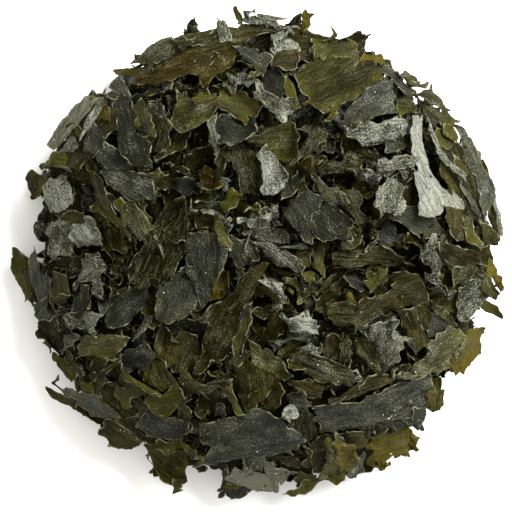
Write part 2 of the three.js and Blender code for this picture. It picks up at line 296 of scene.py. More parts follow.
@dataclass(frozen=True)
class FlakeForm:
    """One flake's sizes, and how it is torn and warped.

    Args:
        rng: Random source.
        corners: Corners of its outline before the sides are torn, in mm.
        temper: How far it has warped.
        thickness: Thickness of the sheet, in mm.
        spacing: Spacing of the mesh, in mm.
        tear: How far a torn side strays, as a share of its length.
        sway: Strength of the sways and bites of the outline.
        fray: Depth of the frayed ends, in mm.
    """

    rng: Random
    corners: Array
    temper: Temper
    thickness: float
    spacing: float
    tear: float
    sway: float = 0.5
    fray: float = 0.6

    @property
    def length(self) -> float:
        """Extent along the flake."""
        return float(np.ptp(self.corners[:, 0]))

    @property
    def width(self) -> float:
        """Extent across the flake."""
        return float(np.ptp(self.corners[:, 1]))

    def build(self) -> FlakeMesh:
        """Cuts, wrinkles and bends the flake.

        Returns:
            The closed mesh of the flake.
        """
        rim = self._torn_outline()
        flat, faces = self._cut(rim, self._inner_corners(rim))
        inset = np.hypot(flat[:, :1] - rim[:, 0], flat[:, 1:] - rim[:, 1]).min(1)
        sheet = np.column_stack([flat, self._relief(flat, inset)])
        for bend in self._bends():
            sheet = bend.apply(sheet)
        sheet -= (sheet.min(0) + sheet.max(0)) / 2
        return self._thicken(sheet, flat, faces, inset)

    def _cut(self, rim: Array, inner: Array) -> tuple[Array, Array]:
        """Fills the outline with triangles.

        Args:
            rim: Corners of the outline, in order.
            inner: Corners inside it.

        Returns:
            The corners in use and the triangles, in one piece that nowhere narrows to a single corner.
        """
        places = [Vector(corner) for corner in np.vstack([rim, inner]).tolist()]
        cut = geometry.delaunay_2d_cdt(places, [], [list(range(len(rim)))], 1, 1e-5, False)
        flat = np.array([corner[:] for corner in cut[0]])
        faces = np.array([face for face in cut[2] if len(face) == 3])
        faces = faces[self._inside(rim, flat[faces].mean(1))]
        pinched = np.ones(len(flat), bool)
        while pinched.any():
            border = border_sides(faces)
            pinched = np.bincount(border[:, 0], minlength=len(flat)) > 1
            faces = faces[~pinched[faces].any(1)]
        part = np.arange(len(flat))
        joined = np.zeros(1)
        while joined.size:
            lowest = part[faces].min(1)
            joined = np.flatnonzero((part[faces] != lowest[:, None]).any(1))
            for i in range(3):
                np.minimum.at(part, faces[:, i], lowest)
        faces = faces[part[faces[:, 0]] == np.bincount(part[faces[:, 0]]).argmax()]
        used, faces = np.unique(faces, return_inverse=True)
        return flat[used], faces.reshape(-1, 3)

    def _torn_outline(self) -> Array:
        """Tears the sides of the outline.

        Returns:
            Corners round the flake, counter-clockwise, with torn ends and bites.
        """
        corners, rng = self.corners, self.rng
        after = np.roll(corners, -1, axis=0)
        if float((corners[:, 0] * after[:, 1] - corners[:, 1] * after[:, 0]).sum()) < 0:
            corners = corners[::-1]
        rim = []
        for here, there in zip(corners, np.roll(corners, -1, axis=0)):
            side = there - here
            across = abs(side[1]) / (float(np.hypot(*side)) + 1e-9)
            rim += self._torn_side(here, there, self.tear * (0.6 + across) * rng.lognormal(-0.2, 0.6))
        rim = self._frayed(self._swayed(np.array(rim)))
        around = (self.length + self.width) * self.sway
        for _bite in range(rng.poisson(0.13 * around)):
            wide, depth = rng.uniform(0.4, 1.2), rng.uniform(0.4, 1.8)
            middle = rim[rng.integers(len(rim))]
            inward = -middle * [0.4, 1]
            inward /= np.hypot(*inward) + 1e-9
            share = np.clip(1 - np.hypot(*(rim - middle).T) / wide, 0, 1) * min(depth, 0.3 * self.width)
            rim = rim + share[:, None] * inward
        return rim

    def _torn_side(self, here: Array, there: Array, tear: float) -> list[Array]:
        """Splits a side in two at a point pushed off it, again and again, down to fine steps.

        Args:
            here: The corner that it starts at.
            there: The corner that it ends at.
            tear: How far the point is pushed, as a share of the side.

        Returns:
            The side's corners, without the last.
        """
        side = there - here
        if float(np.hypot(*side)) <= 0.5 * self.spacing:
            return [here]
        push = float(np.clip(self.rng.normal(0, tear), -0.36, 0.36))
        middle = here + side * self.rng.uniform(0.4, 0.6) + push * np.array([-side[1], side[0]])
        return self._torn_side(here, middle, tear) + self._torn_side(middle, there, tear)

    def _swayed(self, rim: Array) -> Array:
        """Sways the outline in and out, broadly and more finely.

        Args:
            rim: Corners of the outline.

        Returns:
            The corners after that.
        """
        noise = ValueNoise(self.rng, 32)
        broad, fine = 0.5 * self.width * self.sway, min(0.6, 0.14 * self.width) * (0.3 + 0.7 * self.sway)
        for length, depth in ((0.7 * self.width + 1.5, broad), (1.6, 0.7 * fine)):
            place = rim / length + 50
            push_x = noise.at(place[:, 0], place[:, 1])
            push_y = noise.at(place[:, 1] + 9, place[:, 0] + 4)
            rim = rim + depth * np.column_stack([push_x, push_y])
        return rim

    def _frayed(self, rim: Array) -> Array:
        """Draws the ends out into points along the fibres and nicks the long sides.

        Args:
            rim: Corners of the outline.

        Returns:
            The corners after that.
        """
        reach, rng = np.abs(rim).max(0), self.rng
        for axis, depth, step in ((0, 0.9, 1.1), (1, 0.45, 1.5), (0, 0.45, 0.5), (1, 0.26, 0.6)):
            depth = min(self.fray * depth, 0.16 * reach[axis])
            knots = np.cumsum(rng.exponential(step, JAGS)) - JAGS_BEFORE
            for side in (-1, 1):
                jags = rng.normal(0, 1, JAGS) * (rng.random(JAGS) < 0.75)
                share = np.clip(side * rim[:, axis] / (0.4 * reach[axis]), 0, 1)
                rim[:, axis] += depth * share * np.interp(rim[:, 1 - axis], knots, jags)
        return rim

    def _inner_corners(self, rim: Array) -> Array:
        """Places corners inside the outline: a loose honeycomb, and a row along the edge.

        Args:
            rim: Corners of the outline.

        Returns:
            The inner corners.
        """
        step = self.spacing
        low, high = rim.min(0), rim.max(0)
        rows = np.arange(low[1], high[1], step * 0.866)
        places = [
            (x + (index % 2) * step / 2, y)
            for index, y in enumerate(rows)
            for x in np.arange(low[0], high[0], step)
        ]
        grid = np.array(places) + self.rng.normal(0, 0.08 * step, (len(places), 2))
        inward = np.roll(rim, -1, axis=0) - np.roll(rim, 1, axis=0)
        inward = unit_rows(np.column_stack([-inward[:, 1], inward[:, 0]]), 1e-9)
        ring = (rim + self.thickness * 1.1 * inward)[::2]
        inner = self._within(rim, grid, 0.65 * step)
        return np.vstack([inner, self._within(rim, ring, 0.8 * self.thickness)])

    def _within(self, rim: Array, places: Array, clearance: float) -> Array:
        """Those of the places that lie inside the outline and clear of it."""
        clear = np.hypot(places[:, :1] - rim[:, 0], places[:, 1:] - rim[:, 1]).min(1) > clearance
        return places[clear & self._inside(rim, places)]

    def _inside(self, rim: Array, places: Array) -> Array:
        """Tells what lies inside the outline, by counting the sides east of each place.

        Args:
            rim: Corners of the outline.
            places: The places.

        Returns:
            True for each place that lies inside.
        """
        x, y = places[:, :1], places[:, 1:]
        ax, ay = rim[:, 0], rim[:, 1]
        bx, by = np.roll(ax, -1), np.roll(ay, -1)
        crosses = (ay > y) != (by > y)
        meets = ax + (y - ay) * (bx - ax) / np.where(by == ay, 1e-9, by - ay)
        return ((crosses & (x < meets)).sum(1) % 2) == 1

    def _relief(self, flat: Array, inset: Array) -> Array:
        """Wrinkles the sheet: swells, lengthwise pleats and a frill at the edge.

        Args:
            flat: The sheet's corners.
            inset: Their distance from the edge.

        Returns:
            Their height over the sheet's plane.
        """
        noise = ValueNoise(self.rng, 24)
        x, y = flat[:, 0] + 40, flat[:, 1] + 40
        temper = self.temper
        swell = 0.7 * noise.at(x / 5 + 2, y / 3.6) + 0.4 * noise.at(x / 2.3 + 7, y / 1.7 + 3)
        swell += 0.8 * (0.5 - np.abs(noise.at(x / 3.6 + 4, y / 2.2 + 6)))
        swell += 0.35 * (0.5 - np.abs(noise.at(x / 2.1 + 14, y / 1.2 + 16)))
        warp = noise.at(x / 6 + 11, y / 5) * 0.9
        pleats = np.zeros(len(flat))
        for wavelength in (2.7, 1.5):
            wave = y / wavelength + warp + self.rng.random()
            pleats += np.abs(np.sin(math.pi * wave)) * wavelength / 2.7
        strength = 0.5 + 0.5 * noise.at(x / 7 + 5, y / 6 + 9)
        frill = temper.ruffle * np.exp(-inset / 1.1) * 2 * noise.at(x / 1.3 + 3, y / 1.3 + 17)
        return temper.blister * swell - temper.ribs * strength * pleats + frill

    def _bends(self) -> list[Bend]:
        """Draws the flake's bends from what its temper allows.

        Returns:
            The bends, in the order in which they are made.
        """
        temper, half_width, half_length = self.temper, self.width / 2, self.length / 2
        bends, rng = [], self.rng
        for side in (-1, 1):
            if rng.random() < 0.6:
                place = side * half_width * rng.uniform(0.6, 0.92)
                turn = side * temper.edge * rng.uniform(0.4, 1.3) * (1 if rng.random() < 0.75 else -1)
                bends.append(Bend(90 + rng.normal(0, 9), place, rng.uniform(0.3, 0.7), turn))
        for _corner in range(temper.corners):
            heading = rng.uniform(0, 360)
            angle = math.radians(heading)
            reach = math.hypot(half_length * math.cos(angle), half_width * math.sin(angle))
            turn = rng.uniform(25, 95) * (1 if rng.random() < 0.7 else -1)
            bends.append(Bend(heading, reach * rng.uniform(0.5, 0.85), rng.uniform(0.2, 0.45), turn))
        for _crease in range(temper.creases):
            place = rng.uniform(-0.6, 0.6) * half_length
            turn = rng.choice([-1, 1]) * rng.uniform(22, 70)
            bends.append(Bend(rng.uniform(-70, 70), place, rng.uniform(0.2, 0.6), turn))
        if temper.fold:
            place = half_width * rng.uniform(-0.3, 0.3)
            bends.append(Bend(90 + rng.normal(0, 8), place, 0.5, temper.fold * rng.uniform(0.8, 1.2)))
        cup = temper.cup * rng.normal(0.4, 0.6)
        bends.append(Bend(90 + rng.normal(0, 14), rng.normal(0, 0.3) * half_width, 0.5 * self.width, cup))
        arch = temper.arch * rng.normal(-0.3, 0.8)
        bends.append(Bend(rng.normal(0, 16), rng.normal(0, 0.4) * half_length, 0.3 * self.length, arch))
        return bends

    def _thicken(self, sheet: Array, flat: Array, faces: Array, inset: Array) -> FlakeMesh:
        """Gives the sheet its thickness, with a rounded edge all round.

        Args:
            sheet: Corners of the bent sheet.
            flat: The same corners before it was bent.
            faces: Its triangles.
            inset: Distance of each corner from the edge.

        Returns:
            The closed mesh.
        """
        count = len(sheet)
        a, b, c = (sheet[faces[:, i]] for i in range(3))
        face_normals = np.cross(b - a, c - a)
        normals = np.zeros((count, 3))
        for i in range(3):
            np.add.at(normals, faces[:, i], face_normals)
        normals = unit_rows(normals)
        border = border_sides(faces)
        outward = np.zeros((count, 3))
        flat_outward = np.zeros((count, 2))
        run = sheet[border[:, 1]] - sheet[border[:, 0]]
        flat_run = flat[border[:, 1]] - flat[border[:, 0]]
        for i in range(2):
            np.add.at(outward, border[:, i], np.cross(run, normals[border[:, i]]))
            np.add.at(flat_outward, border[:, i], np.column_stack([flat_run[:, 1], -flat_run[:, 0]]))
        outward, flat_outward = unit_rows(outward), unit_rows(flat_outward)
        edge = np.unique(border)
        at_edge = np.zeros(count)
        at_edge[edge] = 1
        half = self.thickness / 2
        offset = normals * (half * (1 - 0.35 * at_edge))[:, None]
        bulge = np.full(count, -1)
        bulge[edge] = 2 * count + np.arange(len(edge))
        points = np.vstack([sheet + offset, sheet - offset, sheet[edge] + outward[edge] * half * 0.9])
        p, q = border[:, 0], border[:, 1]
        u, v, low_p, low_q = bulge[p], bulge[q], p + count, q + count
        upper_rim = [np.column_stack([p, u, v]), np.column_stack([p, v, q])]
        lower_rim = [np.column_stack([u, low_p, low_q]), np.column_stack([u, low_q, v])]
        all_faces = np.vstack([faces, *upper_rim, faces[:, ::-1] + count, *lower_rim])
        under = np.zeros(len(all_faces))
        under[len(all_faces) // 2:] = 1
        all_flat = np.vstack([flat, flat, flat[edge] + flat_outward[edge] * self.thickness])
        all_inset = np.concatenate([inset, inset, np.zeros(len(edge))])
        return FlakeMesh(points, all_faces, all_flat, all_inset, under)


# ---- the heap


@dataclass(frozen=True)
class Mound:
    """The heap's general shape, in mm, the same as the solid's under its juts.

    Args:
        centre: Middle of the mound, seen from above.
        radius: Mean radius at the foot.
        height: Height of the top.
        shoulder: Power that says how far out the broad top reaches.
        side: Power that says how steeply the side comes down.
        waves: (lobes, depth, turn) of the uneven outline.
        lumps: (along X, along Y, depth, phase) of the uneven top.
        foot: Height of the dome that loose flakes slide down to, at its foot.
        crown: Height of that dome in the middle.
        give: Share of what stands above the dome that slides down.
        ease: Height over which the sliding sets in.
    """

    centre: tuple[float, float]
    radius: float
    height: float
    shoulder: float = 3.8
    side: float = 0.62
    waves: tuple[Place, ...] = ((2, 0.7, 0.6), (3, 0.6, 2.1), (7, 0.5, 1.2), (13, 0.5, 0.3))
    lumps: tuple[tuple[float, float, float, float], ...] = (
        (0.16, 0.05, 0.8, 0.7), (-0.07, 0.19, 0.8, 2.6), (0.31, -0.22, 0.5, 4.2),
    )
    foot: float = 2
    crown: float = 28
    give: float = 0.6
    ease: float = 1.5

    @classmethod
    def within(cls, box: tuple[Vector, Vector]) -> "Mound":
        """Works the mound out from the solid's box, past which only single flakes jut.

        Args:
            box: Lowest and highest corner of the solid, in metres.

        Returns:
            The mound, in whole millimetres.
        """
        low, high = np.array(box) / MM
        middle, size = (low + high) / 2, high - low
        x, y = (round(float(place) + shift, 2) for place, shift in zip(middle, MOUND_SHIFT))
        return cls((x, y), round(MOUND_SPAN * float(size[0])), round(MOUND_RISE * float(size[2])))

    def share(self, x: Array, y: Array) -> Array:
        """Tells how far out each place lies.

        Args:
            x: Places along X.
            y: Places along Y.

        Returns:
            0 in the middle, 1 at the uneven foot.
        """
        dx, dy = x - self.centre[0], y - self.centre[1]
        angle = np.arctan2(dy, dx)
        radius = self.radius + sum(depth * np.cos(lobes * angle - turn) for lobes, depth, turn in self.waves)
        return np.hypot(dx, dy) / radius

    def surface(self, x: Array, y: Array) -> Array:
        """Height of the mound over each place.

        Args:
            x: Places along X.
            y: Places along Y.

        Returns:
            The heights, with the uneven top's lumps.
        """
        share = np.minimum(1, self.share(x, y))
        dx, dy = x - self.centre[0], y - self.centre[1]
        lumps = sum(depth * np.sin(kx * dx + ky * dy + phase) for kx, ky, depth, phase in self.lumps)
        return self.height * (1 - share**self.shoulder) ** self.side + lumps * (1 - share)

    def slumped(self, x: Array, y: Array, z: Array) -> Array:
        """Lets what stands too high slide down, so that what lay higher is still higher.

        Args:
            x: Places along X.
            y: Places along Y.
            z: Their heights before.

        Returns:
            Their heights after.
        """
        dome = self.foot + (self.crown - self.foot) * (1 - np.minimum(1, self.share(x, y) / 1.08) ** 3)
        over = np.maximum(0, z - dome)
        return z - self.give * (over - self.ease * (1 - np.exp(-over / self.ease)))

    def resting_normal(self, x: float, y: float, steepest: float) -> Array:
        """Outward normal at a place, levelled out where the side is steeper than a flake lies.

        Args:
            x: Place along X.
            y: Place along Y.
            steepest: Greatest slope, in degrees.

        Returns:
            The unit normal.
        """
        step = 1.5
        xs, ys = np.array([x + step, x - step, x, x]), np.array([y, y, y + step, y - step])
        east, west, north, south = self.surface(xs, ys)
        slope = np.array([east - west, north - south]) / (2 * step)
        steepness = max(float(np.hypot(*slope)), 1e-6)
        slope *= min(1.0, math.tan(math.radians(steepest)) / steepness)
        normal = np.array([-slope[0], -slope[1], 1.0])
        return normal / np.linalg.norm(normal)


@dataclass
class Ground:
    """A height map of the heap so far, from which it is read where a new flake comes to rest.

    Args:
        reach: Half the side of the square that it covers, in mm.
        cell: Side of one of its cells, in mm.
    """

    reach: float = 58
    cell: float = 0.6
    heights: Array = field(init=False)

    def __post_init__(self) -> None:
        """Starts with the bare surface."""
        side = int(2 * self.reach / self.cell)
        self.heights = np.zeros((side, side))

    def places(self) -> tuple[Array, Array]:
        """X and Y of every cell's middle."""
        ruler = (np.arange(len(self.heights)) + 0.5) * self.cell - self.reach
        return np.meshgrid(ruler, ruler, indexing="ij")

    def cells(self, points: Array) -> tuple[Array, Array]:
        """Finds the cell under each point.

        Args:
            points: The points, X and Y first.

        Returns:
            The cells' numbers along X and along Y.
        """
        index = ((points[:, :2] + self.reach) / self.cell).astype(int)
        index = index.clip(0, len(self.heights) - 1)
        return index[:, 0], index[:, 1]

    def rest(self, points: Array, firmness: float) -> float:
        """How far a flake has to be lifted to lie on the heap.

        Args:
            points: Points spread over the flake.
            firmness: Percentage of them that may not sink in.

        Returns:
            The lift in mm.
        """
        gap = self.heights[self.cells(points)] - points[:, 2]
        return max(float(np.percentile(gap, firmness)), 0.05 - float(points[:, 2].min()))

    def cover(self, points: Array) -> None:
        """Adds a flake that has come to rest."""
        np.maximum.at(self.heights, self.cells(points), points[:, 2])


@dataclass
class LaidFlake:
    """A flake in its place on the heap.

    Args:
        mesh: The flake in its own frame.
        points: Its corners on the heap, in mm.
        tone: How light it is, from -1 to 1: its own lightness together with painted light and shade.
        salt: Share of salt on it.
    """

    mesh: FlakeMesh
    points: Array
    tone: float
    salt: float


def turning(normal: Array, heading: float, pitch: float, roll: float) -> Array:
    """The rotation of a flake that lies on a slope.

    Args:
        normal: Unit normal of the slope.
        heading: Direction of the flake's tip, in degrees from X.
        pitch: Degrees that the tip is raised.
        roll: Degrees that the left edge is raised.

    Returns:
        A 3 by 3 rotation matrix.
    """
    h, p, r = (math.radians(angle) for angle in (heading, -pitch, roll))
    spin = np.array([[math.cos(h), -math.sin(h), 0], [math.sin(h), math.cos(h), 0], [0, 0, 1]])
    nod = np.array([[math.cos(p), 0, math.sin(p)], [0, 1, 0], [-math.sin(p), 0, math.cos(p)]])
    lean = np.array([[1, 0, 0], [0, math.cos(r), -math.sin(r)], [0, math.sin(r), math.cos(r)]])
    x, y, z = normal
    k = 1 / (1 + z)
    slope = np.array([[1 - k * x * x, -k * x * y, x], [-k * x * y, 1 - k * y * y, y], [-x, -y, z]])
    return slope @ spin @ nod @ lean


def loosened(outline: Outline, length: float, width: float, rng: Random) -> Array:
    """An outline at its size, a little different each time.

    Args:
        outline: The outline.
        length: Length of the flake, in mm.
        width: Width of the flake, in mm.
        rng: Source of the differences.

    Returns:
        The corners in mm.
    """
    corners = np.array(outline.value, float)
    corners += rng.normal(0, 0.06, corners.shape)
    corners[:, 1] += corners[:, 0] * rng.normal(0, 0.16)
    if rng.random() < 0.5:
        corners[:, 1] *= -1
    return corners * [length, width]


@dataclass(frozen=True)
class Recipe:
    """How the loose flakes of one kind are drawn.

    Args:
        kind: The kind of flake.
        weight: How common it is.
        outlines: The outlines that it comes in.
        lengths: Least and greatest length, in mm.
        slimness: Least and greatest width as a share of the length.
        tempers: The ways it warps.
        tone: Mean lightness, from -1 to 1.
        salt: Mean share of salt on it.
        thickness: Least and greatest thickness, in mm.
    """

    kind: Kind
    weight: float
    outlines: tuple[Outline, ...]
    lengths: tuple[float, float]
    slimness: tuple[float, float]
    tempers: tuple[Temper, ...]
    tone: float
    salt: float
    thickness: tuple[float, float] = (0.22, 0.38)

    def draw(self, rng: Random, spacing: float) -> FlakeForm:
        """Draws one flake's sizes.

        Args:
            rng: Random source.
            spacing: Spacing of the mesh, in mm.

        Returns:
            The form of the flake.
        """
        length = self.lengths[0] + (self.lengths[1] - self.lengths[0]) * rng.random() ** 1.6
        outline = self.outlines[rng.integers(len(self.outlines))]
        return FlakeForm(
            rng,
            corners=loosened(outline, length, length * rng.uniform(*self.slimness), rng),
            temper=self.tempers[rng.integers(len(self.tempers))],
            thickness=rng.uniform(*self.thickness),
            spacing=spacing,
            tear=rng.uniform(0.12, 0.3),
        )


BROAD = (Outline.CHIP, Outline.BOARD, Outline.WEDGE, Outline.HATCHET)
NARROW = (Outline.BLADE, Outline.STRAP, Outline.LEAF)
LACY = (Outline.FROND, Outline.CHIP)
SLIM = (Outline.NEEDLE, Outline.STRAP, Outline.LEAF)
THIN = (0.18, 0.28)
FILLING = (
    Recipe(OLIVE, 28, BROAD, (6, 12), (0.4, 0.8), (FLAT, CUPPED, EDGED, CRUMPLED), 0.0, 0.2),
    Recipe(BROWN, 24, NARROW, (8, 16), (0.2, 0.4), (FLAT, EDGED, RIBBED, FOLDED), -0.1, 0.15),
    Recipe(SLATE, 6, BROAD, (6, 12), (0.4, 0.8), (FLAT, CUPPED, EDGED), 0.0, 0.4),
    Recipe(STRAPS, 6, NARROW, (8, 16), (0.16, 0.34), (FLAT, EDGED, RIBBED), 0.0, 0.4),
    Recipe(SALTED, 7, BROAD, (5, 9), (0.5, 0.9), (FLAT, CRUMPLED, WAVY), 0.0, 0.6),
    Recipe(RIBS, 14, NARROW, (8, 15), (0.2, 0.4), (RIBBED, CRUMPLED), 0.1, 0.4),
    Recipe(AMBER, 9, LACY, (5, 10), (0.4, 0.8), (WAVY, CUPPED), -1.0, 0.1, THIN),
)
SCRAPS = (
    Recipe(SHREDS, 44, SLIM, (3, 9), (0.1, 0.26), (FLAT, CURLED), 0.0, 0.2),
    Recipe(OLIVE, 24, BROAD, (2.5, 5.5), (0.5, 0.9), (FLAT, CRUMPLED), 0.0, 0.2),
    Recipe(SALTED, 7, BROAD, (2, 4.5), (0.5, 0.9), (FLAT, CRUMPLED), 0.0, 0.55),
    Recipe(AMBER, 5, (Outline.FROND,), (2.5, 5), (0.4, 0.8), (WAVY,), -0.9, 0.1, THIN),
    Recipe(SLATE, 9, BROAD, (3, 6), (0.4, 0.8), (FLAT, EDGED), 0.0, 0.35),
)


@dataclass(frozen=True)
class DrawnFlake:
    """A flake that lies on top, drawn as it is seen from above.

    Args:
        kind: The kind of flake.
        temper: The way it warps.
        tone: How light it is, from -1 to 1: its own lightness together with painted light and shade.
        salt: Share of salt on it.
        path: Its corners in order, "x,y" in mm from the middle of the mound.
    """

    kind: Kind
    temper: Temper
    tone: float
    salt: float
    path: str

    def plan(self, centre: tuple[float, float]) -> Array:
        """The corners as seen from above, in mm."""
        return np.array([place.split(",") for place in self.path.split()], float) + centre
